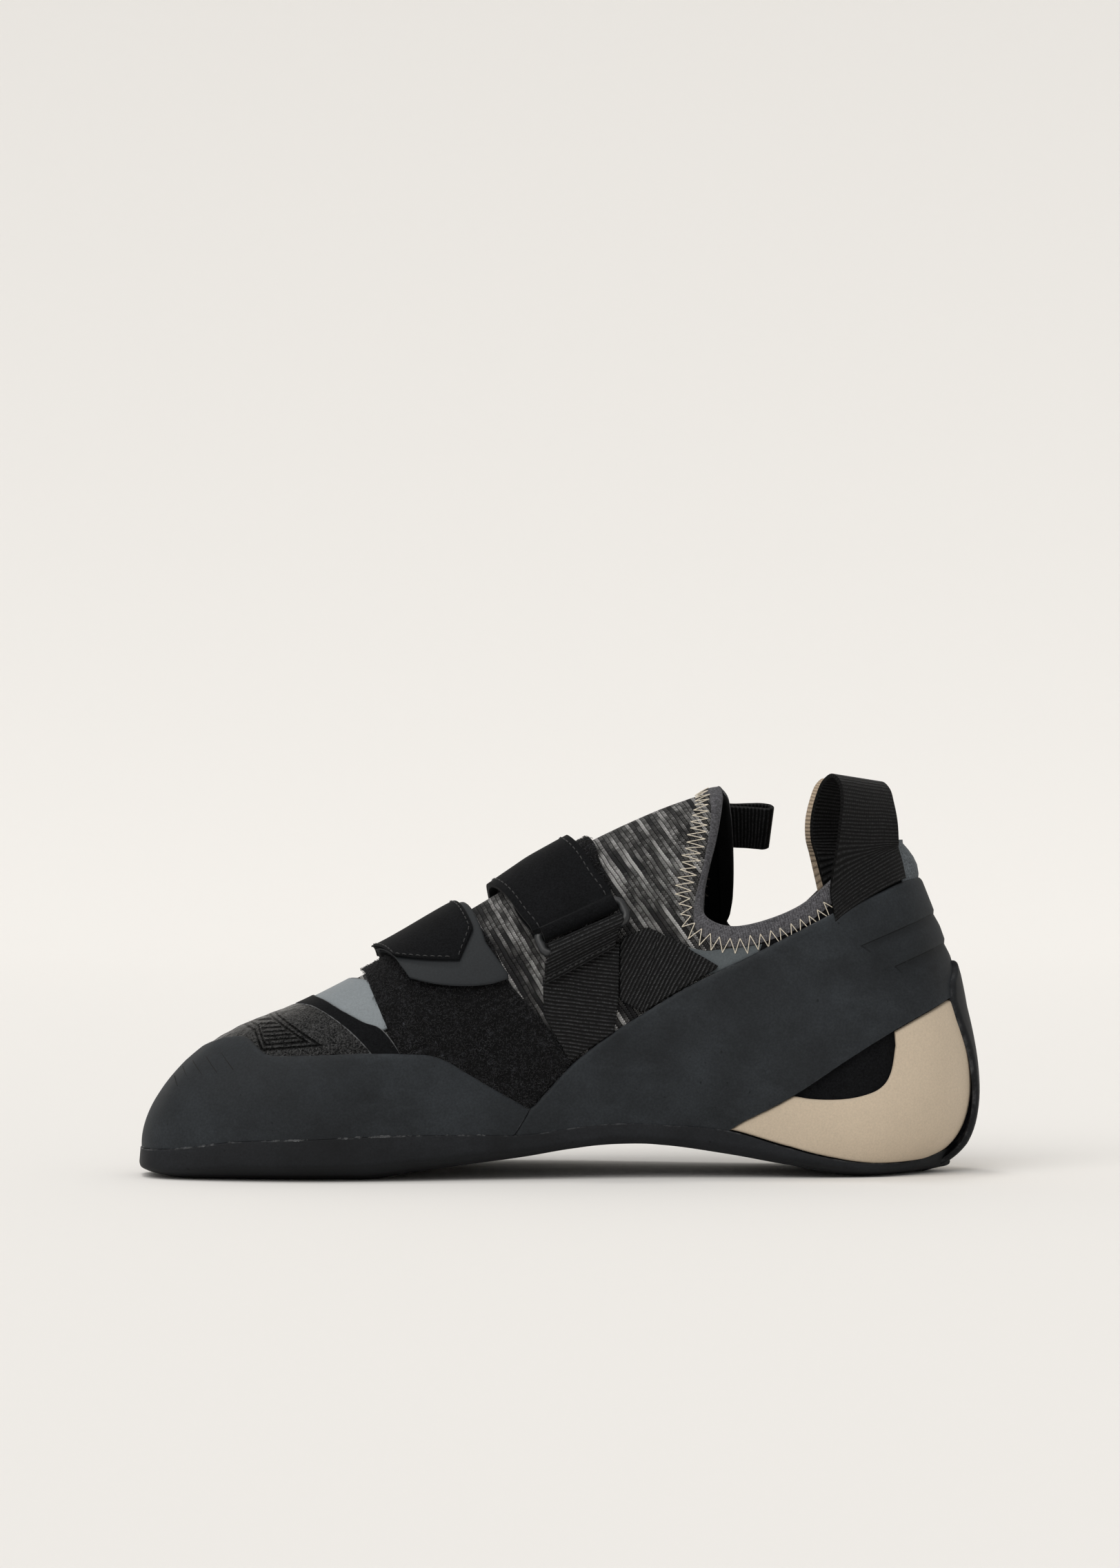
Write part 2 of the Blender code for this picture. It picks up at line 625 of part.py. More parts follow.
def band_low_line(us):
    """The lower line of the heel band as shares of the wall."""
    sections, shares = edge(BAND_LOW)
    front = on(*RAND_TOP[-1])[0]
    v_low = share_at(STRIP_SECTION, z=BAND_LOW[-1][1])
    v_back = share_at(float(LAST_SECTION), z=BAND_BACK_LOW)
    sections = [front, *sections[:-1], STRIP_SECTION - 0.12, STRIP_SECTION - 0.05, LAST_SECTION]
    shares = [0.0, 0.0, *shares[1:-1], v_low, v_back, v_back]
    return np.interp(us, sections, shares)


def heel_band(group):
    """The tension band from the V-shaped seam round the back of the heel."""
    back = np.array([LAST_SECTION, share_at(float(LAST_SECTION), z=BAND_BACK_TOP) - 1])
    sections, shares = edge(BAND_TOP, end=back)
    start = sections[0]
    extra = (STRIP_SECTION - 0.12, STRIP_SECTION - 0.05, STRIP_SECTION + 0.2)
    us = columns_between(start, float(LAST_SECTION), extra=extra)
    high = np.interp(us, sections, shares)
    seam_section = on(*RAND_TOP[-1])[0]
    seam = np.interp(us, [seam_section, start], [0.0, shares[0]])
    low = np.minimum(band_low_line(us), high - 0.02)
    low = np.where(us < start + 0.01, seam - 0.06, low)
    grid = both_sides(us, low, high, 3, GAP + 0.15, joined_at_tip=False)
    return shell("heel_band", [pull_in_borders(grid)], BAND, RUBBER, group)


def heel_cup(group, name, side):
    """The pale cup below the band on one side, with its half-moon cut-out."""
    moon_sections, moon_shares = edge(MOON)
    front = on(*BAND_LOW[0])[0] + 0.35
    end = STRIP_SECTION - 0.16
    us = columns_between(front, end, extra=(moon_sections[-1] - 0.06, moon_sections[-1] + 0.03))
    top = band_low_line(us)
    inside = (us > moon_sections[0]) & (us < moon_sections[-1])
    high = np.where(inside, np.minimum(np.interp(us, moon_sections, moon_shares), top), top)
    rise = np.interp(us, [front, LAST_SECTION - 2.2, LAST_SECTION - 0.8, end], [0.012, 0.02, 0.065, 0.13])
    high = np.maximum(high, rise + 0.012)
    grid = wall_grid(us, rise, high, 4, side, GAP + 0.68)
    if side > 0:
        grid = grid[:, ::-1]
    return shell(name, [pull_in_borders(grid)], CUP, BEIGE, group)


def toe_patch(group):
    """The patch on top of the toes, between the rand and the trim."""
    tip = np.array([0.0, share_at(0.0, x=RAND_CROWN_X) - 1])
    sections, shares = edge(RAND_TOP[:-2], start=tip)
    line = [crown(-81.1), on(-76.0, 51.2), on(-69.3, 48.2), on(-62.1, 42.8), on(-58.4, 39.6)]
    line_sections = [place[0] for place in line]
    line_shares = [1 - abs(place[1]) for place in line]
    start = line_sections[0]
    us = columns_between(0.0, line_sections[-1] - 0.05, extra=(start, start + 0.15, 3.17, 3.5))
    low = np.interp(us, sections, shares) + 0.012
    high = np.where(us <= line_sections[0], 1.0, np.interp(us, line_sections, line_shares) - 0.008)
    high = np.maximum(high, low + 0.01)
    medial = wall_grid(us, low, high, 5, -1, GAP + 0.35)
    lateral = wall_grid(us, low, high, 5, 1, GAP + 0.35)
    return shell("toe_patch", [medial, lateral[:, ::-1]], PATCH, GRAINED, group)


def mirrored(rows):
    """Rows from the medial end to the crown, and on to the same places of the lateral side."""
    lateral = [[np.array([place[0], -place[1]]) for place in row] for row in rows[-2::-1]]
    return rows + lateral


def vamp_trim(group):
    rows = [
        [on(-57.4, 40.0), on(-50.2, 40.2)],
        [on(-62.1, 42.8), on(-54.0, 45.0)],
        [on(-69.3, 48.2), on(-60.6, 47.4)],
        [on(-76.0, 51.2), on(-69.0, 51.6)],
        [crown(-81.1), crown(-75.2)],
    ]
    grid = laid(mirrored(rows), 17, 3, [GAP + 0.1, GAP + 0.1])
    return shell("vamp_trim", [grid], TRIM, BLACK_SUEDE, group)


def vamp_panel(group):
    rows = [
        [on(-55.0, 46.2), on(-53.6, 46.6)],
        [on(-60.6, 48.4), on(-56.4, 53.0)],
        [on(-69.0, 52.4), on(-60.2, 57.6)],
        [crown(-74.9), crown(-65.2)],
    ]
    grid = laid(mirrored(rows), 15, 4, [GAP + 0.1, GAP + 0.1])
    return shell("vamp_panel", [grid], PANEL, GREY_FABRIC, group)


def loop_panel(group):
    """The fuzzy panel under the toe strap, on the medial side."""
    rows = [
        [on(-48.9, 39.8), on(-38.0, 38.8), on(-27.0, 33.2), on(-9.6, 23.6), on(2.6, 36.2)],
        [on(-52.8, 46.2), on(-40.0, 46.0), on(-28.0, 43.0), on(-15.0, 41.0), on(-5.6, 47.4)],
        [on(-58.6, 58.6), on(-47.0, 58.6), on(-36.0, 58.6), on(-25.0, 58.6), on(-16.0, 58.8)],
        [crown(-60.0), crown(-53.0), crown(-46.0), crown(-39.0), crown(-33.0)],
    ]
    grid = laid(rows, 11, 8, [GAP + 0.25, GAP + 0.25])
    return shell("loop_panel", [grid], LOOP_PILE, PILE, group)


def toe_strap(group):
    level = GAP + 0.2 + LOOP_PILE + GAP + 0.2
    rows = [
        [on(-44.9, 58.2), on(-30.0, 57.6), on(-16.4, 59.4)],
        [on(-48.8, 63.0), on(-36.0, 66.0), on(-22.5, 70.0)],
        [crown(-55.0), crown(-42.0), crown(-29.0)],
        [far(-57.0, 58.0), far(-44.0, 63.0), far(-31.0, 68.0)],
        [far(-57.5, 41.0), far(-45.0, 41.5), far(-33.0, 42.0)],
    ]
    grid = laid(rows, 13, 6, [level, level, level, GAP + 0.6, GAP + 0.2], inset=False)
    return shell("toe_strap", [grid], STRAP, STRAP_GREY, group)


def toe_strap_tab(group):
    level = GAP + 0.2 + LOOP_PILE + GAP + 0.2 + STRAP + GAP + 0.1
    rows = [
        [on(-48.6, 62.8), on(-40.0, 63.2), on(-30.4, 63.6)],
        [on(-51.6, 65.6), on(-40.0, 68.6), on(-25.8, 73.0)],
        [crown(-55.0), crown(-42.0), crown(-30.5)],
        [far(-56.4, 61.0), far(-43.5, 66.0), far(-31.0, 71.0)],
    ]
    grid = laid(rows, 10, 6, [level, level, level, level - 1.2], inset=False)
    return shell("toe_strap_tab", [grid], TAB, BLACK_SUEDE, group)


# The ring and what is folded round its bars
RING_LONG = 27.6
RING_SHORT = 7.2
RING_BAR = 1.4
RING_LIFT = 4.4
RING_PLACE = (6.4, 75.0)
RING_TILT = 26.0


def ring_frame():
    """Centre of the ring, its long and short directions and the way out from the shoe."""
    place = on(*RING_PLACE)
    centre = raised(place[:1], place[1:], np.array([RING_LIFT]))[0]
    out = normals(place[:1], place[1:])[0]
    tilt = math.radians(RING_TILT)
    long_way = np.array([math.cos(tilt), 0.0, math.sin(tilt)])
    long_way -= out * np.dot(long_way, out)
    long_way /= np.linalg.norm(long_way)
    short_way = np.cross(out, long_way)
    if short_way[2] < 0:
        short_way = -short_way
    return centre, long_way, short_way, out


def strap_ring(group):
    """A rounded rectangle of round bar."""
    centre, long_way, short_way, _ = ring_frame()
    corner = 2.0
    spots = []
    for sx, sy, turn in ((1, 1, 0), (-1, 1, 90), (-1, -1, 180), (1, -1, 270)):
        for step in (0, 30, 60, 90):
            angle = math.radians(turn + step)
            a = sx * (RING_LONG / 2 - corner) + corner * math.cos(angle)
            b = sy * (RING_SHORT / 2 - corner) + corner * math.sin(angle)
            spots.append((centre + long_way * a + short_way * b + CENTRE) * MM)
    curve = bpy.data.curves.new("strap_ring", "CURVE")
    curve.dimensions = "3D"
    curve.bevel_depth = RING_BAR * MM
    curve.bevel_resolution = 2
    line = curve.splines.new("POLY")
    line.points.add(len(spots) - 1)
    for point, spot in zip(line.points, spots):
        point.co = (*spot, 1.0)
    line.use_cyclic_u = True
    item = bpy.data.objects.new("strap_ring", curve)
    group.objects.link(item)
    curve.materials.append(material("strap_ring_finish", PLASTIC))
    return item


def laid_strip(rows, offsets, wide):
    """A strip along rows of places, with three steps between the rows."""
    steps = 3 * (len(rows) - 1) + 1
    places = net(rows, steps, wide)
    return raised(places[..., 0], places[..., 1], offsets_along(offsets, steps, wide))


def folded(first_rows, first_offsets, bar, radius, second_rows, second_offsets, wide):
    """A ribbon that comes along the last, turns round a bar of the ring and goes back over itself."""
    centre, long_way, short_way, out = ring_frame()
    middle = centre + short_way * bar * RING_SHORT / 2
    half = RING_LONG / 2 - 2.4
    turn = []
    for step in range(7):
        angle = math.radians(-90 + 30 * step)
        spot = middle - short_way * bar * radius * math.cos(angle) + out * radius * math.sin(angle)
        turn.append([spot + long_way * s for s in np.linspace(-half, half, wide)])
    first = laid_strip(first_rows, first_offsets, wide)
    second = laid_strip(second_rows, second_offsets, wide)
    return np.concatenate([first, np.array(turn), second], axis=0)


def ankle_strap(group):
    """The strap from the lateral side, round the upper bar of the ring and back over the instep."""
    radius = RING_BAR + GAP + STRAP / 2
    low = GAP + 0.3 + STRAP / 2
    high = low + STRAP + 0.9
    ring_low = [on(-10.4, 73.6), on(4.0, 80.4), on(14.2, 87.2)]
    middle = [on(-15.6, 81.0), on(-2.6, 88.6), on(8.6, 95.0)]
    top = [crown(-20.6), crown(-8.0), crown(4.0)]
    lateral = [far(-20.0, 72.0), far(-8.0, 80.0), far(5.0, 88.0)]
    anchor = [far(-16.0, 45.0), far(-2.0, 48.0), far(12.0, 52.0)]
    first_rows = [anchor, lateral, top, middle, ring_low]
    second_rows = [ring_low, middle, top, lateral]
    grid = folded(
        first_rows, [low, low, low, low, low + 0.4], 1, radius,
        second_rows, [high + 2.0, high + 0.7, high, high], 5,
    )
    return shell("ankle_strap", [grid], STRAP, BLACK_SUEDE, group, offset=0.0)


def webbing_sleeve(group):
    """Webbing folded round the lower bar of the ring, over the tops of both legs."""
    radius = RING_BAR + GAP + 0.2 + WEBBING / 2
    low = GAP + 1.3 + WEBBING / 2
    high = GAP + WEBBING + GAP + 0.3 + WEBBING / 2
    near = [on(-5.0, 63.4), on(6.6, 69.0), on(17.0, 74.1)]
    lower = [on(-5.0, 62.2), on(6.4, 67.8), on(16.8, 72.9)]
    end = [on(-5.2, 58.6), on(6.0, 64.4), on(15.8, 69.6)]
    heights = [high + 3.0, high + 2.2, high]
    grid = folded([lower, near], [low, low], -1, radius, [near, lower, end], heights, 4)
    return shell("webbing_sleeve", [grid], WEBBING, WEB_BLACK, group, offset=0.0)


def webbing_front(group):
    rows = [
        [(-5.5, 60.2), (16.8, 70.8)],
        [(-5.8, 49.6), (17.0, 54.6)],
        [(2.6, 36.9), (15.6, 45.7)],
    ]
    return shell("webbing_front", [laid_flat(rows, 9, 5, GAP + 0.1)], WEBBING, WEB_BLACK, group)


def webbing_rear(group):
    rows = [
        [(17.6, 56.0), (17.6, 71.2)],
        [(18.4, 54.6), (26.0, 75.2)],
        [(25.4, 51.6), (47.2, 64.6)],
    ]
    return shell("webbing_rear", [laid_flat(rows, 9, 5, GAP + 0.1)], WEBBING, WEB_BLACK, group)


def below_edge(u, side, deep):
    """The place on the wall that lies this deep below the edge of the collar, along the section."""
    shares = np.linspace(0.0, 0.3, 120)
    reach = last(u, side * np.maximum(shares, 1e-6))
    fall = np.linalg.norm(reach - reach[0], axis=1)
    return np.array([float(u), side * max(float(np.interp(deep, fall, shares)), 1e-5)])


def over_edge(low, middle, rim, out, run, thickness):
    """A U-shaped line over the collar's edge: three points of the wall, their ways out and the edge's run."""
    half = thickness / 2
    outside = GAP + 0.15 + half
    inside = -WALL - GAP - 0.8 - half
    up = np.cross(run, out[2])
    up *= np.sign(np.dot(up, rim - middle)) / np.linalg.norm(up)
    over = GAP + half + 0.6
    return [
        low + out[0] * outside,
        middle + out[1] * outside,
        rim + up * over * 0.6 + out[2] * outside,
        rim + up * over + out[2] * (outside + inside) / 2,
        rim + up * over * 0.6 + out[2] * inside,
        middle + out[1] * inside,
        low + out[0] * inside,
    ]


def rim_profile(u, side, deep, thickness):
    """The U-shaped line over the edge of the collar at one section."""
    places = np.array([below_edge(u, side, part * deep) for part in (1.0, 0.45, 0.0)])
    low, middle, rim = last(places[:, 0], places[:, 1])
    ways = normals(places[:, 0], np.where(np.abs(places[:, 1]) < 0.004, side * 0.004, places[:, 1]))
    before, after = last([max(u - 0.1, PEAK), u + 0.1], side * 1e-5)
    return over_edge(low, middle, rim, ways, after - before, thickness)


def peak_profile(deep, thickness):
    """The U-shaped line over the edge of the collar at the peak, on the crown line."""
    crown_us = np.linspace(PEAK - 0.8, PEAK, 80)
    points = last(crown_us, 0.0)
    reach = np.linalg.norm(points - points[-1], axis=1)
    us = np.interp([-deep, -deep * 0.45, 0.0], -reach, crown_us)
    us = np.minimum(us, PEAK - 0.03)
    low, middle, _ = last(us, 0.0)
    return over_edge(low, middle, points[-1], normals(us, np.zeros(3)), np.array([0.0, 1.0, 0.0]), thickness)


BINDING_END = 15.5
BINDING_DEEP = 5.2


def collar_binding(group):
    """The knitted binding over the edge of the collar, from one heel loop round the front to the other."""
    us = np.append(np.arange(BINDING_END, PEAK + 0.4, -0.5), PEAK + 0.25)
    columns = [rim_profile(u, -1, BINDING_DEEP, BINDING) for u in us]
    columns += [peak_profile(BINDING_DEEP, BINDING)]
    columns += [rim_profile(u, 1, BINDING_DEEP, BINDING) for u in us[::-1]]
    grid = np.array(columns)
    return shell("collar_binding", [grid], BINDING, KNIT, group, offset=0.0)


def heel_tab(group):
    """Suede rolled over the edge of the collar behind the heel loops."""
    us = np.linspace(BINDING_END + 0.05, LAST_SECTION, 5)
    columns = [rim_profile(u, -1, BINDING_DEEP + 0.6, BINDING) for u in us]
    columns += [rim_profile(u, 1, BINDING_DEEP + 0.6, BINDING) for u in us[-2::-1]]
    grid = np.array(columns)
    return shell("heel_tab", [grid], BINDING, HEEL_SUEDE, group, offset=0.0)


LOOP_WIDTH = 24.0
LOOP_TURN = 37.0
LOOP_SECTION = 15.36
LOOP_LEG = 4.6
LOOP_TILT = 0.1
LoopSpot = namedtuple("LoopSpot", "out z")
LOOP_PATH = [
    LoopSpot(2.6, 102.0), LoopSpot(2.8, 108.5), LoopSpot(1.8, 114.6), LoopSpot(-1.0, 119.0),
    LoopSpot(-5.2, 121.0), LoopSpot(-8.8, 119.4), LoopSpot(-11.4, 114.8), LoopSpot(-12.2, 108.6),
    LoopSpot(-11.0, 102.6), LoopSpot(-8.2, 98.0),
]


def heel_loop(group, name, side, finish):
    """A ribbon from the outside of the collar up, over and down to the inside."""
    turn = math.radians(LOOP_TURN)
    edge_us = np.linspace(LAST_SECTION - 3.0, LAST_SECTION, 200)
    edge_points = last(edge_us, side * 1e-5)
    rim = last(LOOP_SECTION, side * 1e-5)[0]
    wide_way = np.array([math.cos(turn), -side * math.sin(turn), 0.0])
    out_way = np.array([math.sin(turn), side * math.cos(turn), 0.0])
    spots = np.linspace(-0.5, 0.5, 5) * LOOP_WIDTH
    us = np.interp(spots, (edge_points - rim) @ wide_way, edge_us)
    level = GAP + 0.1 + BINDING + GAP + 0.5 + RIBBON / 2
    deep = np.array([below_edge(u, side, LOOP_LEG) for u in us])
    shallow = np.array([below_edge(u, side, LOOP_LEG * 0.45) for u in us])
    rows = [raised(*deep.T, np.full(5, level)), raised(*shallow.T, np.full(5, level))]
    for spot in LOOP_PATH:
        centre = np.array([rim[0], rim[1], spot.z]) + out_way * spot.out
        slope = np.array([0.0, 0.0, LOOP_TILT * np.clip((spot.z - 104.0) / 12.0, 0.0, 1.0)])
        rows.append(centre + np.outer(spots, wide_way - slope))
    inner = -WALL - level - 0.8
    rows += [raised(*shallow.T, np.full(5, inner)), raised(*deep.T, np.full(5, inner))]
    grid = np.array(rows)
    return shell(name, [grid], RIBBON, finish, group, offset=0.0)


TAB_WIDTH = 13.0
TAB_SECTION = 9.69


def collar_tab(group):
    """A small ribbon loop on the outside of the lateral collar, pointing back."""
    u = np.array([TAB_SECTION])
    rim = last(u, 1e-5)[0]
    out = normals(u, np.array([0.01]))[0]
    run = last(u + 0.05, 1e-5)[0] - last(u - 0.05, 1e-5)[0]
    run /= np.linalg.norm(run)
    back = np.cross(run, out)
    if back[0] < 0:
        back = -back
    level = GAP + BINDING + GAP + RIBBON / 2
    next_level = level + RIBBON + GAP
    path = [(-4.6, level), (0.5, level), (5.0, level + 0.2), (9.0, level + 0.1)]
    path += [(11.8, level + 0.2), (12.8, level + 1.2), (12.0, level + 2.6)]
    path += [(9.0, level + 3.4), (5.0, level + 2.8), (0.5, next_level + 0.3), (-4.6, next_level)]
    grid = np.array([
        [rim + back * a + out * b + run * s * TAB_WIDTH for s in np.linspace(-0.5, 0.5, 4)] for a, b in path
    ])
    return shell("collar_tab", [grid], RIBBON, WEB_BLACK, group, offset=0.0)


def main():
    clear_scene()
    shoe = collection("climbing_shoe")
    tools = collection("cutters", shown=False)
    outsole(shoe, tools)
    insole(shoe)
    upper(shoe)
    toe_rand(shoe)
    heel_band(shoe)
    heel_cup(shoe, "heel_cup_medial", -1)
    heel_cup(shoe, "heel_cup_lateral", 1)
    toe_patch(shoe)
    vamp_trim(shoe)
    vamp_panel(shoe)
    loop_panel(shoe)
    toe_strap(shoe)
    toe_strap_tab(shoe)
    strap_ring(shoe)
    ankle_strap(shoe)
    webbing_sleeve(shoe)
    webbing_front(shoe)
    webbing_rear(shoe)
    collar_binding(shoe)
    heel_tab(shoe)
    heel_loop(shoe, "heel_loop_medial", -1, WEB_BLACK)
    heel_loop(shoe, "heel_loop_lateral", 1, BEIGE)
    collar_tab(shoe)


main()
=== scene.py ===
"""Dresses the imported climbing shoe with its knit, rubber, suede, webbing and stitching.

The toe points along -X, the big-toe side faces -Y and the shoe stands on z = 0.
Tables and lengths inside the functions are in millimetres, and the meshes are in metres.
"""

import math
from collections import namedtuple

import bpy
import numpy as np
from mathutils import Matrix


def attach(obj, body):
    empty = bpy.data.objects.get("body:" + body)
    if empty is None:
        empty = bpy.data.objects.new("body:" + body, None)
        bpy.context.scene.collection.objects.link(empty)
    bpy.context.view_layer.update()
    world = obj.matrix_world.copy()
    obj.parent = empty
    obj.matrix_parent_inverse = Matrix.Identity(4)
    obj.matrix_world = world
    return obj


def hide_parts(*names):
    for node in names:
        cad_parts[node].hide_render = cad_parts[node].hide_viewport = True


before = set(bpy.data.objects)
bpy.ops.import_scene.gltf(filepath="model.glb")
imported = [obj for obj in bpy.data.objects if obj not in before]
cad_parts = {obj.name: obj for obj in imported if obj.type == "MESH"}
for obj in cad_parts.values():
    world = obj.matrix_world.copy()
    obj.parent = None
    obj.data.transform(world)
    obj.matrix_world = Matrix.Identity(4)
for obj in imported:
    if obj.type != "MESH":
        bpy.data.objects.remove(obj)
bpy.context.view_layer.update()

bl_info = {
    "name": "Climbing shoe",
    "version": (1, 0, 0),
    "blender": (4, 5, 0),
    "location": "View3D > Sidebar > Shoe",
    "description": "Lays the knit, rubber, suede, webbing and stitching of a climbing shoe on its last",
    "category": "Object",
}

MM = 0.001
GAP = 0.3
BEVEL_STEPS = 3
BEVEL_ANGLE = 50.0
KNIT_ROW = 1.3
KNIT_STITCH = 0.74
CENTRE = np.array([0.62, -0.2, 0.0])

# The feather line of the upper on both sides, from the tip of the toe to the back of the heel
Foot = namedtuple("Foot", "med_x med_y lat_x lat_y")
FEET = [
    Foot(-127.2, -16.0, -127.2, -16.0),
    Foot(-121.0, -30.0, -124.3, -2.5),
    Foot(-103.0, -38.3, -112.0, 13.5),
    Foot(-78.0, -42.8, -89.0, 29.0),
    Foot(-52.0, -41.0, -58.0, 39.5),
    Foot(-25.0, -36.5, -26.0, 43.2),
    Foot(-2.0, -32.8, -1.0, 41.5),
    Foot(12.0, -31.1, 14.0, 39.1),
    Foot(21.0, -30.2, 23.0, 37.4),
    Foot(27.0, -29.6, 29.0, 36.2),
    Foot(33.5, -29.1, 35.5, 34.6),
    Foot(42.0, -28.6, 44.0, 32.7),
    Foot(53.0, -28.0, 55.0, 30.9),
    Foot(66.0, -27.5, 67.0, 28.9),
    Foot(82.0, -26.3, 83.0, 26.7),
    Foot(97.0, -22.0, 97.0, 22.0),
    Foot(107.0, -12.0, 107.0, 12.0),
    Foot(110.5, 0.0, 110.5, 0.0),
]

# The crown line, where both sides meet, for the sections from the tip to the peak
Crown = namedtuple("Crown", "x y z slope")
CROWN = [
    Crown(-95.0, -15.0, 45.7, 0.42),
    Crown(-93.5, -14.9, 46.3, 0.42),
    Crown(-89.0, -14.3, 48.0, 0.42),
    Crown(-77.0, -12.5, 52.9, 0.45),
    Crown(-54.0, -10.0, 65.0, 0.57),
    Crown(-27.0, -7.5, 81.7, 0.62),
    Crown(3.0, -4.5, 99.0, 0.55),
    Crown(28.0, -2.0, 110.9, 0.44),
    Crown(49.0, 0.0, 118.4, 0.36),
]
PEAK = len(CROWN) - 1

# The edge of the collar, for the sections behind the peak
Collar = namedtuple("Collar", "med_x med_y med_z lat_x lat_y lat_z")
COLLAR = [
    Collar(49.3, -7.0, 114.5, 51.8, 7.0, 114.3),
    Collar(47.0, -14.0, 102.0, 53.3, 14.0, 101.0),
    Collar(43.0, -21.5, 87.0, 53.2, 21.5, 86.0),
    Collar(43.6, -25.5, 79.3, 51.3, 25.8, 77.0),
    Collar(54.0, -27.5, 76.2, 58.5, 27.5, 73.0),
    Collar(72.0, -26.5, 82.0, 73.0, 26.5, 79.0),
    Collar(87.0, -22.0, 93.8, 87.0, 22.0, 91.8),
    Collar(99.5, -12.0, 100.8, 99.5, 12.0, 100.4),
    Collar(104.3, 0.0, 102.0, 104.3, 0.0, 102.0),
]

# How each section swells: outward and up from the feather line, forward and outward from the top
Swell = namedtuple("Swell", "med_flare med_rise med_lean med_out lat_flare lat_rise lat_lean lat_out drop")
SWELLS = [
    Swell(1.0, 13.5, 17.0, 0.0, 1.0, 13.5, 17.0, 0.0, 0.0),
    Swell(1.5, 15.0, 11.0, 11.0, 1.5, 13.0, 13.0, 12.0, 0.0),
    Swell(2.0, 19.0, 3.0, 16.0, 2.0, 14.0, 7.0, 22.0, 0.0),
    Swell(2.5, 24.0, 0.0, 20.0, 2.5, 16.0, 2.0, 28.0, 0.0),
    Swell(3.0, 29.0, 0.0, 20.0, 2.5, 19.0, 0.0, 31.0, 0.0),
    Swell(4.0, 33.0, 0.0, 19.0, 2.0, 26.0, 0.0, 29.0, 0.0),
    Swell(5.0, 36.0, 2.0, 18.0, 1.5, 33.0, 2.0, 26.0, 0.0),
    Swell(6.0, 38.0, 6.0, 16.0, 2.0, 37.0, 6.0, 20.0, 0.0),
    Swell(6.5, 38.0, 9.0, 14.0, 2.5, 37.0, 9.0, 15.0, 0.0),
    Swell(7.0, 37.0, 10.0, 10.0, 3.0, 36.0, 11.0, 10.0, 6.0),
    Swell(7.0, 35.0, 11.0, 8.5, 3.5, 33.0, 13.0, 8.5, 10.0),
    Swell(6.8, 32.0, 9.0, 5.0, 4.0, 30.0, 12.0, 5.0, 13.0),
    Swell(6.8, 28.0, 5.0, 4.5, 5.0, 26.0, 6.0, 4.5, 17.0),
    Swell(7.5, 24.0, 0.0, 3.0, 6.5, 22.0, 0.0, 3.0, 22.0),
    Swell(9.0, 18.0, -2.0, 4.0, 9.0, 17.0, -2.0, 4.0, 27.0),
    Swell(14.0, 12.0, -6.0, 5.0, 14.0, 12.0, -6.0, 5.0, 31.0),
    Swell(23.0, 8.0, -10.0, 7.0, 23.0, 8.0, -10.0, 7.0, 33.0),
    Swell(29.0, 6.0, -15.0, 0.0, 29.0, 6.0, -15.0, 0.0, 33.0),
]
LAST = len(FEET) - 1

# The side of the sole: its top line, the lower edge of its wall, its underside and the width of its bevel
Sole = namedtuple("Sole", "x top edge low bevel")
SOLE = [
    Sole(-130.0, 8.5, 3.0, 0.9, 6.0),
    Sole(-116.0, 9.4, 3.2, 0.0, 9.0),
    Sole(-98.0, 12.0, 4.5, 0.0, 11.0),
    Sole(-74.0, 12.9, 4.8, 0.0, 12.0),
    Sole(-58.0, 13.6, 5.2, 0.0, 11.0),
    Sole(-44.0, 13.9, 6.4, 2.2, 9.0),
    Sole(-28.0, 13.9, 8.0, 4.4, 7.0),
    Sole(-11.0, 13.8, 9.2, 6.6, 6.0),
    Sole(5.0, 16.0, 11.6, 9.2, 5.0),
    Sole(17.0, 17.0, 12.8, 10.3, 5.0),
    Sole(30.0, 16.5, 12.4, 10.0, 5.0),
    Sole(50.0, 14.7, 10.4, 7.2, 5.0),
    Sole(70.0, 9.0, 5.9, 3.6, 5.0),
    Sole(84.0, 5.6, 3.2, 0.9, 6.0),
    Sole(95.0, 4.3, 2.2, 0.0, 7.0),
    Sole(107.0, 4.4, 2.3, 0.0, 7.0),
    Sole(113.0, 5.6, 3.2, 0.5, 7.0),
]

# Side-view lines of the panels, as places along the shoe and heights
RAND_TOP = [
    (-101.3, 41.4), (-96.6, 42.0), (-94.0, 41.4), (-90.8, 38.9), (-86.8, 37.2), (-73.5, 37.6), (-57.4, 38.4),
    (-41.6, 38.2), (-35.6, 36.8), (-28.1, 32.6), (-20.2, 27.8), (-9.8, 21.8),
]
SEAM_FOOT = (-14.6, 14.4)
RAND_CROWN_X = -107.2
BAND_TOP = [
    (-9.6, 22.0), (-7.5, 23.7), (3.1, 34.9), (15.7, 44.5), (24.9, 50.1), (38.9, 58.3), (48.5, 63.2),
    (55.6, 66.6), (79.9, 79.1), (99.8, 87.8),
]
BAND_BACK_TOP = 90.5
BAND_LOW = [(50.7, 15.6), (69.6, 25.2), (85.0, 35.2), (100.4, 44.7), (117.0, 53.5)]
MOON = [(70.3, 25.4), (76.0, 24.4), (84.0, 24.2), (91.0, 25.2), (96.7, 27.6), (99.8, 32.3), (101.3, 41.0)]
STRIP_TOP = 64.6
STRIP_SECTION = LAST - 0.56
StripEdge = namedtuple("StripEdge", "share section")
STRIP_EDGE = [
    StripEdge(0.0, 16.66), StripEdge(0.19, 16.74), StripEdge(0.32, 16.74), StripEdge(0.44, 16.64),
    StripEdge(0.53, 16.46), StripEdge(0.585, 16.40), StripEdge(0.625, 16.50), StripEdge(0.66, 16.80),
]
TRIM_LOW = [(-76.0, 51.2), (-69.3, 48.2), (-62.1, 42.8), (-58.4, 39.6)]

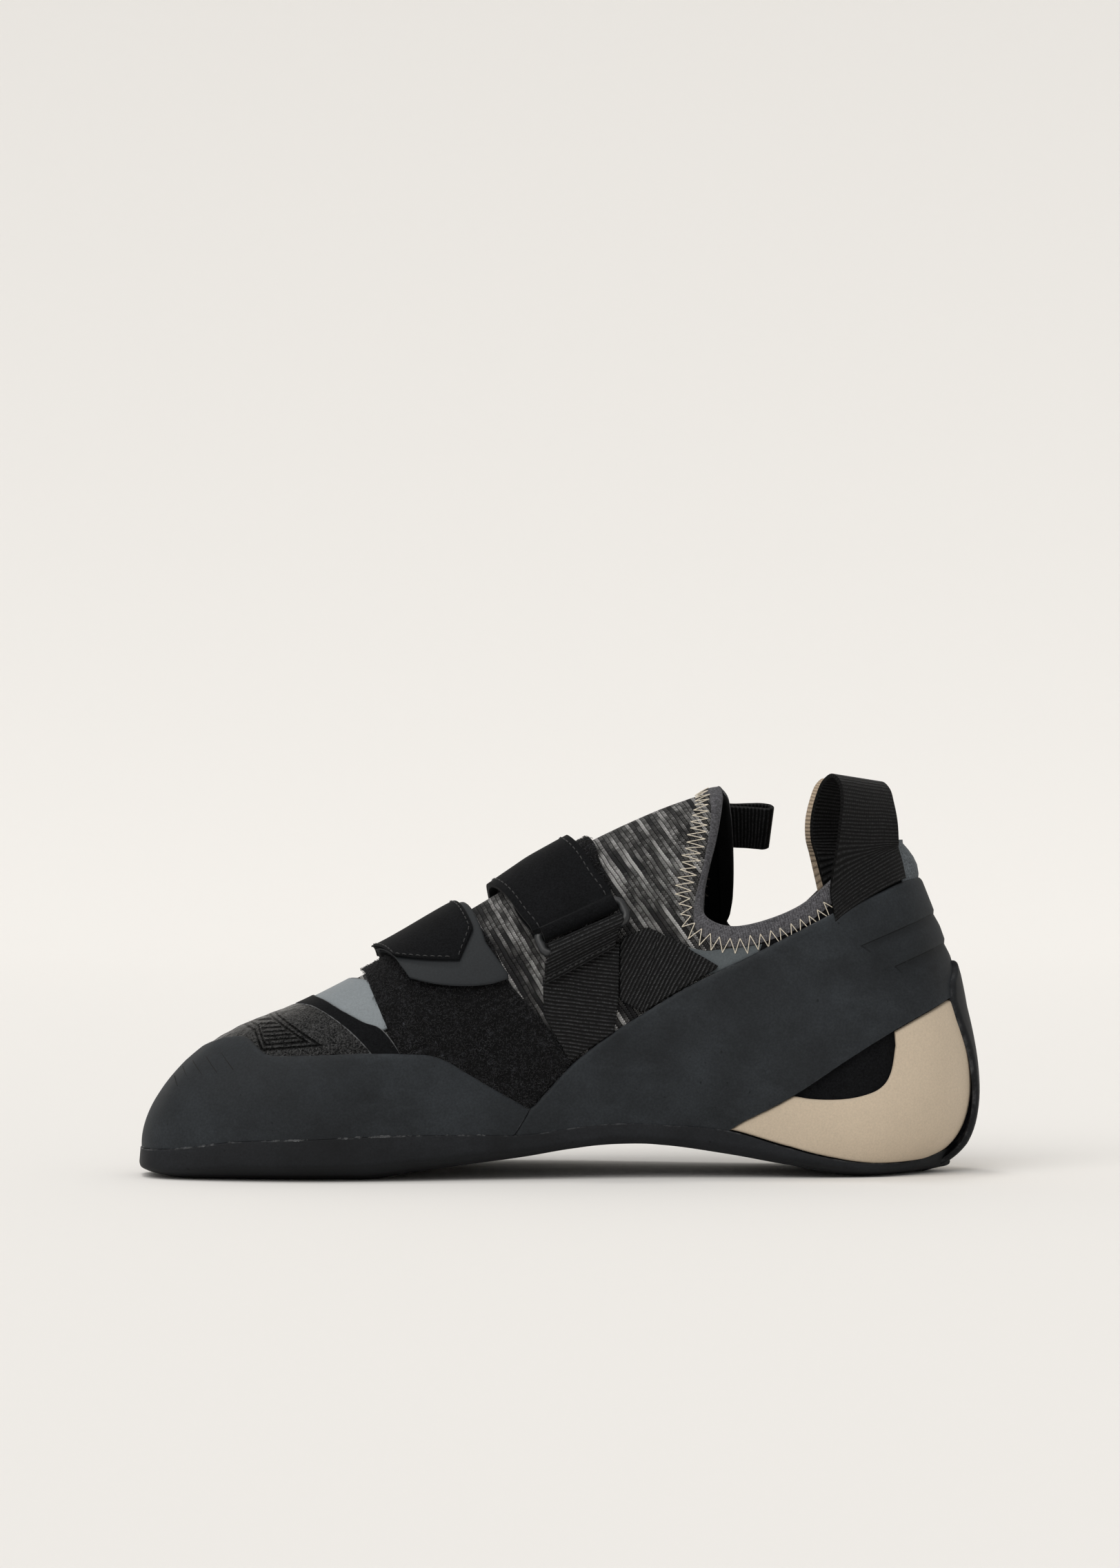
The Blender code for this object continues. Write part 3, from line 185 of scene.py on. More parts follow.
# The ring and the pull loops
RING_LONG = 27.6
RING_SHORT = 7.2
RING_BAR = 1.4
RING_LIFT = 4.4
RING_PLACE = (6.4, 75.0)
RING_TILT = 26.0
RING_CORNER = 2.4
LOOP_WIDTH = 24.0
LOOP_TURN = 37.0
LOOP_SECTION = 15.36
LOOP_LEG = 4.6
LOOP_TILT = 0.1
LOOP_LEAN = 0.2
LoopSpot = namedtuple("LoopSpot", "out z")
LOOP_PATH = [
    LoopSpot(2.6, 102.0), LoopSpot(2.9, 108.5), LoopSpot(2.5, 114.6), LoopSpot(0.8, 119.2),
    LoopSpot(-2.4, 121.2), LoopSpot(-6.2, 119.6), LoopSpot(-9.4, 114.8), LoopSpot(-10.6, 108.6),
    LoopSpot(-9.6, 102.6), LoopSpot(-7.6, 98.0),
]
LOOP_FOOT = 11.6
TAB_SECTION = 9.69
TAB_WIDE = 14.2
BINDING_END = 15.5
HEEL_TAB_START = 16.1
HEEL_TAB_DEEP = 13.5
ROLL_THICK = 0.45
BACKING_DEEP = 13.0

# The zigzag seams on the outer and the inner side: depths below the edge, and heights above that side
OUTER_TIPS = ((3.4, 1.42), (8.2, 0.5))
INNER_TIPS = ((6.6, -1.3), (10.6, -0.15))

# Thicknesses of the threads, curls and slits, and angles of the ribs of the webbing in the side view
CURL_THICK = 0.1
SLIT_THICK = 0.34
STITCH_THICK = 0.4
STRAP_STITCH_THICK = 0.42
STRIP_BODY = 3.8
REAR_RIBS = 62.0
FRONT_RIBS = -7.0

# The floor that turns up into the backdrop, the sky as light and as seen, and the camera
FLOOR_NEAR = -4000.0
FLOOR_FAR = 1600.0
FLOOR_HALF = 5000.0
SWEEP_RADIUS = 1200.0
BACKDROP_HIGH = 4200.0
LAMP_COLOUR = (1.0, 0.985, 0.965)
SKY_COLOUR = (1.0, 0.985, 0.96, 1.0)
SKY_LIGHT = 0.55
SKY_SEEN = 0.84
LENS = 111.2
SENSOR = 36.0
CAMERA_PLACE = (0.0002, -1.5, 0.1198)


# Sizes and colours that a user would change


def length(name, description, default):
    """A length in metres, given in millimetres."""
    return bpy.props.FloatProperty(
        name=name, description=description, default=default * MM, min=0.0, unit="LENGTH", precision=4
    )


def colour(name, description, default):
    """A colour as linear red, green and blue."""
    return bpy.props.FloatVectorProperty(
        name=name, description=description, default=default, size=3, min=0.0, max=1.0, subtype="COLOR"
    )


class ShoeSizes(bpy.types.PropertyGroup):
    """Thicknesses and pitches of the pieces."""

    wall: length("Upper wall", "Thickness of the knitted wall", 2.0)
    rand: length("Toe rand", "Thickness of the rubber round the toe", 1.8)
    band: length("Heel band", "Thickness of the rubber band round the heel", 1.8)
    strip: length("Heel strip", "Thickness of the sole's strip up the heel", 3.4)
    cup: length("Heel cup", "Thickness of the pale cup", 1.3)
    patch: length("Toe patch", "Thickness of the grained patch", 1.2)
    trim: length("Vamp trim", "Thickness of the suede trim", 1.0)
    panel: length("Vamp panel", "Thickness of the grey panel", 0.9)
    pile: length("Loop panel", "Thickness of the fuzzy panel", 2.2)
    strap: length("Straps", "Thickness of both straps", 1.6)
    tab: length("Strap tab", "Thickness of the tab on the toe strap", 1.2)
    webbing: length("Webbing", "Thickness of the ribbed webbing", 1.3)
    ribbon: length("Pull loops", "Thickness of the pull loops", 1.2)
    binding: length("Binding", "Thickness of the collar binding", 0.9)
    binding_deep: length("Binding depth", "How far the binding comes down from the edge of the collar", 6.0)
    zigzag_pitch: length("Zigzag pitch", "Distance between two points of the zigzag seam", 3.3)
    thread: length("Thread", "Thickness of the sewing thread", 0.3)
    stitch: length("Stitch", "Length of one straight stitch", 2.3)
    curls: bpy.props.IntProperty(name="Curls", description="Number of curls of the pile", default=3400, min=0)


class ShoeColours(bpy.types.PropertyGroup):
    """Colours of the finishes."""

    rubber: colour("Rubber", "Rand and band", (0.0175, 0.0203, 0.0233))
    sole: colour("Sole rubber", "Outsole and heel strip", (0.0098, 0.0108, 0.0126))
    knit_pale: colour("Knit, pale yarn", "Pale stitches of the upper", (0.72, 0.71, 0.70))
    knit_dark: colour("Knit, dark yarn", "Dark stitches of the upper", (0.03, 0.03, 0.032))
    binding: colour("Binding", "Knitted binding of the collar", (0.092, 0.091, 0.099))
    beige: colour("Beige microfibre", "Heel cups", (0.565, 0.470, 0.358))
    beige_web: colour("Beige webbing", "Lateral pull loop", (0.40, 0.315, 0.23))
    suede: colour("Black suede", "Trim, straps, tab and inset", (0.0060, 0.0064, 0.0072))
    panel: colour("Grey microfibre", "Vamp panel", (0.185, 0.208, 0.222))
    backing: colour("Dark microfibre", "Patches below the collar", (0.085, 0.098, 0.105))
    strap: colour("Strap grey", "Toe strap", (0.0190, 0.0215, 0.0240))
    web: colour("Black webbing", "Webbing and pull loops", (0.0045, 0.0046, 0.0048))
    pile: colour("Pile", "Fuzzy panel", (0.0042, 0.0044, 0.0050))
    grained: colour("Grained black", "Toe patch", (0.0060, 0.0063, 0.0067))
    ring: colour("Ring", "Strap ring", (0.0165, 0.0178, 0.0195))
    heel: colour("Heel suede", "Tab at the back of the collar", (0.092, 0.103, 0.112))
    thread: colour("Cream thread", "Zigzag seam", (0.62, 0.56, 0.46))
    lining: colour("Lining", "Inside of the shoe", (0.0055, 0.0055, 0.0060))
    floor: colour("Floor", "Floor and backdrop", (0.795, 0.782, 0.762))


def size(name):
    """One of the sizes, in millimetres."""
    return getattr(bpy.context.scene.shoe_sizes, name) / MM


def tint(name):
    """One of the colours."""
    return tuple(getattr(bpy.context.scene.shoe_colours, name))


# The last


def unit(ways):
    """The same ways with a length of one."""
    return ways / np.linalg.norm(ways, axis=-1, keepdims=True)


def padded(rows):
    """Rows with one more row straight on past each end."""
    return np.concatenate([2 * rows[:1] - rows[1:2], rows, 2 * rows[-1:] - rows[-2:-1]])


def paired(u, w):
    """Two arrays of the same shape from numbers or arrays."""
    return np.broadcast_arrays(np.atleast_1d(np.asarray(u, float)), np.atleast_1d(np.asarray(w, float)))


def through(rows, at):
    """Points of the smooth curve through evenly numbered rows, at these row numbers."""
    rows = np.asarray(rows, float)
    at = np.atleast_1d(np.asarray(at, float))
    first = np.clip(np.floor(at).astype(int), 1, len(rows) - 3)
    t = (at - first).reshape((-1,) + (1,) * (rows.ndim - 1))
    a, b, c, d = rows[first - 1], rows[first], rows[first + 1], rows[first + 2]
    return (2 * b + (c - a) * t + (2 * a - 5 * b + 4 * c - d) * t**2 + (3 * b - a - 3 * c + d) * t**3) / 2


def smooth_rows(rows, count):
    """Rows on the smooth curve through these rows, with its ends kept."""
    rows = np.asarray(rows, float)
    return through(padded(rows), np.linspace(1, len(rows), count))


def sole_line(name, x):
    """One column of the sole's table at places along the shoe."""
    xs = np.array([row.x for row in SOLE])
    values = np.array([[getattr(row, name)] for row in SOLE])
    return through(padded(values), np.interp(x, xs, np.arange(len(xs))) + 1)[:, 0]


def mirrored_ends(near, other):
    """The rows of one side of the shoe with two rows of the other side past each end."""
    return np.vstack([other[2], other[1], near, other[-2], other[-3]])


def side_rows(prefix):
    """Feather points, swells and crown slopes of one side, a row for each section."""
    foot = np.array([[getattr(f, prefix + "_x"), getattr(f, prefix + "_y")] for f in FEET])
    names = [prefix + part for part in ("_flare", "_rise", "_lean", "_out")]
    swell = np.array([[getattr(s, name) for name in names] + [s.drop] for s in SWELLS])
    slope = np.array([[c.slope] for c in CROWN] + [[0.0]] * len(COLLAR))
    return np.hstack([foot, swell, slope])


def collar_rows(prefix):
    """The edge of the collar on one side, from the peak to the back of the heel."""
    peak = [[CROWN[-1].x, CROWN[-1].y, CROWN[-1].z]]
    return np.array(peak + [[getattr(row, prefix + axis) for axis in ("_x", "_y", "_z")] for row in COLLAR])


SIDE_ROWS = {
    -1: mirrored_ends(side_rows("med"), side_rows("lat")),
    1: mirrored_ends(side_rows("lat"), side_rows("med")),
}
CROWN_ROWS = np.array([[c.x, c.y, c.z] for c in CROWN])
CROWN_PADDED = np.vstack([CROWN_ROWS[2], CROWN_ROWS[1], CROWN_ROWS, 2 * CROWN_ROWS[-1] - CROWN_ROWS[-2]])
COLLARS = {-1: collar_rows("med"), 1: collar_rows("lat")}


def tops(u, side):
    """Top points of the wall: on the crown up to the peak, and on the collar's edge behind it."""
    own, other = COLLARS[side], COLLARS[-side]
    rows = np.vstack([2 * own[0] - own[1], own, other[-2], other[-3]])
    crown_points = through(CROWN_PADDED, np.clip(u, -1.0, PEAK) + 2)
    collar_points = through(rows, np.maximum(u - PEAK, 0.0) + 1)
    return np.where((u <= PEAK)[:, None], crown_points, collar_points)


def wall(u, v, side):
    """Points of the last on one side: u counts the sections, v runs from the feather line to the top."""
    rows = through(SIDE_ROWS[side], u + 2)
    run = through(SIDE_ROWS[side][:, :2], u + 2.01) - through(SIDE_ROWS[side][:, :2], u + 1.99)
    run = unit(run)
    outward = np.stack([-side * run[:, 1], side * run[:, 0]], axis=1)
    flare, rise, lean, out, drop, slope = rows[:, 2:].T
    foot = np.column_stack([rows[:, :2], sole_line("top", rows[:, 0]) + GAP])
    top = tops(u, side)
    low_pull = foot + np.column_stack([outward * flare[:, None], rise])
    turn = np.where((u < 0) | (u > LAST), -side, side)
    high_pull = top + np.column_stack([-lean, turn * out, -lean * slope - drop])
    v = v[:, None]
    rest = 1 - v
    return rest**3 * foot + 3 * rest**2 * v * low_pull + 3 * rest * v**2 * high_pull + v**3 * top


def last(u, w):
    """Points of the last: w is -1 on the medial feather line, 0 at the top and 1 on the lateral one."""
    u, w = paired(u, w)
    shape = u.shape
    u, w = u.ravel(), w.ravel()
    points = np.empty((len(u), 3))
    for side, chosen in ((-1, w <= 0), (1, w > 0)):
        if chosen.any():
            points[chosen] = wall(u[chosen], 1 - np.abs(w[chosen]), side)
    return points.reshape(shape + (3,))


def normals(u, w):
    """Outward directions of the last."""
    u, w = paired(u, w)
    w = np.where((np.abs(u) < 0.05) & (np.abs(w) < 0.03), -0.03, w)
    along = last(u + 0.01, w) - last(u - 0.01, w)
    open_top = u > PEAK - 0.02
    low, high = w - 0.004, w + 0.004
    high = np.where(open_top & (w <= 0), np.minimum(high, -1e-6), high)
    low = np.where(open_top & (w > 0), np.maximum(low, 1e-6), low)
    return unit(np.cross(along, last(u, high) - last(u, low)))


def raised(u, w, offset):
    """Points that stand off the last by this much."""
    return last(u, w) + normals(u, w) * np.asarray(offset, float)[..., None]


# Lines and fields of places on the last


def places(points, side=-1):
    """Sections and shares of the wall for places in the side view of one side."""
    points = np.atleast_2d(np.asarray(points, float))
    us, vs = (grid.ravel() for grid in np.meshgrid(np.linspace(0.0, LAST, 171), np.linspace(0.01, 0.99, 50)))
    seeds = last(us, side * (1 - vs))[:, [0, 2]]
    nearest = [int(np.argmin(((seeds - point) ** 2).sum(1))) for point in points]
    u, v = us[nearest], vs[nearest]
    step = 1e-4
    for _ in range(16):
        here = last(u, side * (1 - v))[:, [0, 2]]
        by_u = (last(u + step, side * (1 - v))[:, [0, 2]] - here) / step
        by_v = (last(u, side * (1 - v - step))[:, [0, 2]] - here) / step
        off = points - here
        aa, bb, ab = (by_u**2).sum(1), (by_v**2).sum(1), (by_u * by_v).sum(1)
        damp = 1e-3 * (aa + bb)
        ra, rb = (by_u * off).sum(1), (by_v * off).sum(1)
        det = (aa + damp) * (bb + damp) - ab**2
        u = np.clip(u + np.clip(((bb + damp) * ra - ab * rb) / det, -0.3, 0.3), 0.0, LAST)
        v = np.clip(v + np.clip(((aa + damp) * rb - ab * ra) / det, -0.1, 0.1), 0.0, 0.999)
    return np.column_stack([u, side * (1 - v)])


def straight(points, parts=6):
    """Points on the straight lines between these points."""
    points = np.asarray(points, float)
    at = np.linspace(0, len(points) - 1, (len(points) - 1) * parts + 1)
    return np.column_stack([np.interp(at, np.arange(len(points)), column) for column in points.T])


def curved(points, parts=6):
    """Points on the smooth curve through these points."""
    return smooth_rows(points, (len(points) - 1) * parts + 1)


def drawn(points, side=-1, smooth=False):
    """A line of places from points of the side view."""
    return places(curved(points) if smooth else straight(points), side)


def crown(x):
    """A place on the crown line."""
    us = np.linspace(0.0, PEAK, 400)
    return np.array([[np.interp(x, last(us, 0.0)[:, 0], us), 0.0]])


def share_at(u, x=None, z=None):
    """Share of the wall where one section reaches a place along the shoe or a height."""
    shares = np.linspace(0.0, 1.0, 400)
    points = last(u, shares - 1)
    return float(np.interp(z if x is None else x, points[:, 2] if x is None else points[:, 0], shares))


def edge(points, start=None, end=None):
    """A line on the wall as a share of the wall for each section, from points of the side view."""
    found = places(curved(points, 5))
    found = np.vstack([part for part in (start, found, end) if part is not None])
    order = np.argsort(found[:, 0], kind="stable")
    return found[order, 0], 1 - np.abs(found[order, 1])


def stepped(*ranges):
    """Sections over several ranges, each with its own number of steps."""
    return np.unique(np.concatenate([np.linspace(*limits) for limits in ranges]))


def eased(count, pull=0.75):
    """Shares from 0 to 1 that crowd together at both ends."""
    s = np.linspace(0.0, 1.0, count)
    return s - pull * np.sin(2 * np.pi * s) / (2 * np.pi)


def runs(points, axis):
    """Lengths along the rows or columns of a grid of points."""
    steps = np.linalg.norm(np.diff(points, axis=axis), axis=-1)
    zero = np.zeros_like(np.take(steps, [0], axis=axis))
    return np.concatenate([zero, np.cumsum(steps, axis=axis)], axis=axis)


def along_line(line, count, pull=0.75):
    """Places spread along a line of places by its length on the last."""
    run = runs(last(*line.T), 0)
    at = eased(count, pull) * run[-1]
    return np.column_stack([np.interp(at, run, line[:, k]) for k in (0, 1)])


def filled(low, high, left, right, along, wide, pull=0.75):
    """A field of places between four lines that meet at the corners."""
    low, high = along_line(low, wide, pull), along_line(high, wide, pull)
    left, right = along_line(left, along, pull), along_line(right, along, pull)
    s = eased(wide, pull)[None, :, None]
    t = eased(along, pull)[:, None, None]
    corners = (low[0] * (1 - s) + low[-1] * s) * (1 - t) + (high[0] * (1 - s) + high[-1] * s) * t
    return low[None] * (1 - t) + high[None] * t + left[:, None] * (1 - s) + right[:, None] * s - corners


def spanned(low, high, along, wide):
    """A field of places between two lines, with straight ends."""
    left, right = (np.vstack([low[k], high[k]]) for k in (0, -1))
    return filled(low, high, left, right, along, wide)


def between(us, low, high, rows, side):
    """A field of places on one side between two lines given as shares for each section."""
    parts = eased(rows)[:, None]
    shares = low[None, :] * (1 - parts) + high[None, :] * parts
    return np.stack([np.broadcast_to(us, shares.shape), side * np.maximum(1 - shares, 1e-6)], axis=-1)


def round_toe(us, low, high, rows):
    """A field of places round the toe, from the lateral end to the medial end."""
    lateral, medial = between(us, low, high, rows, 1), between(us, low, high, rows, -1)
    return np.concatenate([lateral[:, ::-1], medial[:, 1:]], axis=1)


def round_heel(us, low, high, rows):
    """A field of places round the heel, from the medial end to the lateral end."""
    lateral, medial = between(us, low, high, rows, 1), between(us, low, high, rows, -1)
    return np.concatenate([medial, lateral[:, ::-1][:, 1:]], axis=1)


# Meshes


def only(item):
    """Selects one object and makes it the active one."""
    bpy.ops.object.select_all(action="DESELECT")
    item.select_set(True)
    bpy.context.view_layer.objects.active = item


def grid_piece(name, points, uv, **fields):
    """A grid primitive whose points are laid out in space, with its pattern lengths in the UV map."""
    rows, columns = points.shape[:2]
    bpy.ops.object.select_all(action="DESELECT")
    bpy.ops.mesh.primitive_grid_add(x_subdivisions=columns - 1, y_subdivisions=rows - 1, size=2.0)
    item = bpy.context.active_object
    item.name = name
    mesh = item.data
    mesh.name = name
    if len(mesh.vertices) != rows * columns:
        raise RuntimeError(name + ": the grid has another number of points")
    flat = np.empty(len(mesh.vertices) * 3)
    mesh.vertices.foreach_get("co", flat)
    flat = flat.reshape(-1, 3)
    column = np.rint((flat[:, 0] + 1) / 2 * (columns - 1)).astype(int)
    row = np.rint((flat[:, 1] + 1) / 2 * (rows - 1)).astype(int)
    mesh.vertices.foreach_set("co", ((points[row, column] + CENTRE) * MM).ravel())
    corners = np.empty(len(mesh.loops), dtype=np.int32)
    mesh.loops.foreach_get("vertex_index", corners)
    mesh.uv_layers.active.data.foreach_set("uv", uv[row, column][corners].astype(np.float32).ravel())
    for field, values in fields.items():
        stored = mesh.attributes.new(field, "FLOAT", "POINT").data
        stored.foreach_set("value", values[row, column].astype(np.float32))
    mesh.update()
    return item


def edit(item, operation, **settings):
    """Does one edit-mode operation on the whole mesh."""
    only(item)
    bpy.ops.object.mode_set(mode="EDIT")
    bpy.ops.mesh.select_all(action="SELECT")
    operation(**settings)
    bpy.ops.object.mode_set(mode="OBJECT")


def merge(item, distance=0.00002):
    """Merges the points that lie on each other."""
    edit(item, bpy.ops.mesh.remove_doubles, threshold=distance)


def thicken(item, thickness, offset=-1.0, lining=0):
    """Gives a surface its thickness."""
    only(item)
    solid = item.modifiers.new("thickness", "SOLIDIFY")
    solid.thickness = thickness * MM
    solid.offset = offset
    solid.use_rim = True
    solid.material_offset = lining
    solid.material_offset_rim = lining
    bpy.ops.object.modifier_apply(modifier=solid.name)


def soften(item, width):
    """Rounds the sharp edges."""
    only(item)
    bevel = item.modifiers.new("edges", "BEVEL")
    bevel.width = width * MM
    bevel.segments = BEVEL_STEPS
    bevel.limit_method = "ANGLE"
    bevel.angle_limit = math.radians(BEVEL_ANGLE)
    bevel.harden_normals = False
    bpy.ops.object.modifier_apply(modifier=bevel.name)


def smooth(item, angle):
    """Shades a piece smoothly, with its edges kept."""
    only(item)
    bpy.ops.object.shade_smooth_by_angle(angle=math.radians(angle))
    return item


def settle(item, look, slot, *nodes):
    """Gives a piece its finish, unless it has one, hangs it from the root and hides the solids it stands for.
    """
    if look is not None:
        item.data.materials.append(finish(look))
    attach(item, "root")
    if nodes:
        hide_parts(*nodes)
    return item


def lay(
    name, field, thickness, bottom=GAP, thin=0.45, rounding=1.0, borders="lrbt",
    relief=None, pattern=None, body=0.0,
):
    """A piece that lies on the last: its outer face drops towards its edges, and its edges close it."""
    u, w = field[..., 0], field[..., 1]
    base, out = last(u, w), normals(u, w)
    rows, columns = runs(base, 0), runs(base, 1)
    gaps = {"b": rows, "t": rows[-1:] - rows, "l": columns, "r": columns[:, -1:] - columns}
    rim = np.min([gaps[border] for border in borders], axis=0)
    full = np.sqrt(1 - (1 - np.clip(rim / rounding, 0.0, 1.0)) ** 2)
    bottom = np.asarray(bottom, float)
    level = bottom + thickness * (thin + (1 - thin) * full)
    if relief is not None:
        level = level + relief(base)
    points = base + out * level[..., None]
    uv = np.stack([columns, rows], axis=-1) if pattern is None else pattern(base)
    a, b = field.shape[0] // 2, field.shape[1] // 2
    facing = np.cross(points[a, b + 1] - points[a, b], points[a + 1, b] - points[a, b])
    if np.dot(facing, out[a, b]) < 0:
        points, uv, rim, rows = points[:, ::-1], uv[:, ::-1], rim[:, ::-1], rows[:, ::-1]
    item = grid_piece(name, points, uv, rim=rim, low=rows)
    merge(item)
    thicken(item, max(body, thickness * thin + 0.15))
    return smooth(item, 50.0)


def by_length(rows, count):
    """Rows spread evenly by length on the smooth surface through unevenly spaced rows."""
    steps = np.linalg.norm(np.diff(rows, axis=0), axis=-1).mean(axis=1)
    knots = np.concatenate([[0.0], np.cumsum(steps)])
    ways = np.gradient(rows, knots, axis=0)
    at = np.linspace(0.0, knots[-1], count)
    k = np.clip(np.searchsorted(knots, at, side="right") - 1, 0, len(steps) - 1)
    span = steps[k][:, None, None]
    t = (at - knots[k])[:, None, None] / span
    ends = (2 * t**3 - 3 * t**2 + 1) * rows[k] + (3 * t**2 - 2 * t**3) * rows[k + 1]
    return ends + ((t**3 - 2 * t**2 + t) * ways[k] + (t**3 - t**2) * ways[k + 1]) * span


def ribbon(name, rows, thickness, along, wide, rounding=0.35):
    """A ribbon through rows of points, of even thickness, with rounded edges."""
    points = by_length(rows, along)
    points = np.swapaxes(smooth_rows(np.swapaxes(points, 0, 1), wide), 0, 1)
    across = runs(points, 1)
    run = np.broadcast_to(runs(points, 0).mean(axis=1, keepdims=True), across.shape)
    rim = np.minimum(across, across[:, -1:] - across)
    item = grid_piece(name, points, np.stack([across, run], axis=-1), rim=rim)
    thicken(item, thickness, offset=0.0)
    soften(item, rounding)
    return smooth(item, 50.0)


def threads(name, paths, thickness, resolution=1):
    """Threads of round section along several paths, as one mesh."""
    curve = bpy.data.curves.new(name, "CURVE")
    curve.dimensions = "3D"
    curve.bevel_depth = thickness / 2 * MM
    curve.bevel_resolution = resolution
    curve.use_fill_caps = True
    for path in paths:
        line = curve.splines.new("POLY")
        line.points.add(len(path) - 1)
        spots = np.column_stack([(np.asarray(path) + CENTRE) * MM, np.ones(len(path))])
        line.points.foreach_set("co", spots.ravel())
    item = bpy.data.objects.new(name, curve)
    bpy.context.scene.collection.objects.link(item)
    only(item)
    bpy.ops.object.convert(target="MESH")
    item = bpy.context.active_object
    bpy.ops.object.shade_smooth()
    return item


def stitches(points, out, pitch, share=0.68, lift=0.18):
    """Paths of straight stitches along a line of points, each dipping into the cloth at its ends."""
    run = runs(points, 0)
    paths = []
    for start in np.arange(pitch * 0.3, run[-1] - pitch, pitch):
        at = start + np.linspace(0.0, share, 5) * pitch
        spots = np.column_stack([np.interp(at, run, points[:, k]) for k in range(3)])
        ways = np.column_stack([np.interp(at, run, out[:, k]) for k in range(3)])
        bow = lift * np.array([-1.6, 0.5, 1.0, 0.5, -1.6])
        paths.append(spots + ways * bow[:, None])
    return paths


# Finishes


def new_finish(name):
    """A finish with only its shader and its output."""
    made = bpy.data.materials.new(name)
    made.use_nodes = True
    return made, made.node_tree, made.node_tree.nodes["Principled BSDF"]


SHADER_INPUTS = {
    "base": "Base Color",
    "rough": "Roughness",
    "shine": "Specular IOR Level",
    "sheen": "Sheen Weight",
    "sheen_rough": "Sheen Roughness",
    "normal": "Normal",
}


def feed(tree, socket, value):
    """Links a socket to an input, or sets the input to a value."""
    if isinstance(value, bpy.types.NodeSocket):
        tree.links.new(value, socket)
    else:
        socket.default_value = value


def dress(tree, shader, **values):
    """Gives the shader sockets or values for its inputs."""
    for name, value in values.items():
        feed(tree, shader.inputs[SHADER_INPUTS[name]], value)


def add(tree, kind, inputs=None, **settings):
    """Adds a node, with values or sockets for its inputs."""
    made = tree.nodes.new("ShaderNode" + kind)
    for name, value in settings.items():
        setattr(made, name, value)
    for name, value in (inputs or {}).items():
        feed(tree, made.inputs[name], value)
    return made


def reckon(tree, operation, a, b=0.0, c=0.0):
    """The result of one sum on sockets or numbers."""
    return add(tree, "Math", {0: a, 1: b, 2: c}, operation=operation).outputs[0]


def times(tree, a, b):
    """The product of two sockets or numbers."""
    return reckon(tree, "MULTIPLY", a, b)


def scaled(tree, a, b, c):
    """The product of two sockets or numbers, plus a third."""
    return reckon(tree, "MULTIPLY_ADD", a, b, c)


def object_place(tree):
    """Place in the shared frame, in metres."""
    return add(tree, "TexCoord").outputs["Object"]


def pattern_place(tree):
    """The two pattern lengths of a piece, in millimetres."""
    parts = add(tree, "SeparateXYZ", {0: add(tree, "TexCoord").outputs["UV"]})
    return parts.outputs[0], parts.outputs[1]


def rim_distance(tree):
    """Distance from the edge of the piece, in millimetres."""
    return add(tree, "Attribute", attribute_name="rim").outputs["Fac"]


def noise(tree, place, scale, detail=4.0, rough=0.55):
    """Soft noise, at a scale in patches for each unit of its place."""
    inputs = {"Vector": place, "Scale": scale, "Detail": detail, "Roughness": rough}
    return add(tree, "TexNoise", inputs).outputs["Fac"]


def stretch(tree, value, low, high, to_low=0.0, to_high=1.0):
    """Maps a value from one range to another, held at both ends."""
    inputs = {"Value": value, "From Min": low, "From Max": high, "To Min": to_low, "To Max": to_high}
    return add(tree, "MapRange", inputs).outputs[0]


def blend(tree, share, a, b, how="MIX"):
    """A mix of two colours."""
    made = add(tree, "Mix", data_type="RGBA", blend_type=how)
    for socket, value in ((made.inputs[0], share), (made.inputs[6], a), (made.inputs[7], b)):
        feed(tree, socket, (*value, 1.0) if isinstance(value, tuple) else value)
    return made.outputs[2]


def shade(rgb, factor):
    """A colour made lighter or darker."""
    return tuple(min(1.0, channel * factor) for channel in rgb)


def ramp(tree, value, stops):
    """A colour from a row of stops."""
    made = add(tree, "ValToRGB", {0: value})
    stripes = made.color_ramp.elements
    while len(stripes) < len(stops):
        stripes.new(0.5)
    for stripe, (place, rgb) in zip(stripes, stops):
        stripe.position = place
        stripe.color = (*rgb, 1.0)
    return made.outputs[0]


def bumps(tree, shader, *layers):
    """Lays one bump on another, each a height, a strength and a depth in millimetres."""
    below = None
    for height, strength, deep in layers:
        inputs = {"Height": height, "Strength": strength, "Distance": deep * MM}
        if below is not None:
            inputs["Normal"] = below
        below = add(tree, "Bump", inputs).outputs[0]
    dress(tree, shader, normal=below)


def side_view(tree):
    """Place along the shoe and height, in millimetres."""
    parts = add(tree, "SeparateXYZ", {0: object_place(tree)})
    along = scaled(tree, parts.outputs[0], 1 / MM, -float(CENTRE[0]))
    return along, times(tree, parts.outputs[2], 1 / MM)


def off_line(tree, view, start, stop):
    """Distance from a line of the side view in millimetres, positive on its left."""
    run = np.subtract(stop, start) / math.dist(start, stop)
    level = float(run[1] * start[0] - run[0] * start[1])
    height = scaled(tree, view[1], float(run[0]), level)
    return scaled(tree, view[0], float(-run[1]), height)


def grey(tree, value):
    """A grey of this brightness."""
    return add(tree, "CombineColor", {0: value, 1: value, 2: value}).outputs[0]


def darkened(tree, base, value, low, high, to_low, to_high):
    """A colour multiplied by a grey that follows a value."""
    return blend(tree, 1.0, base, grey(tree, stretch(tree, value, low, high, to_low, to_high)), "MULTIPLY")


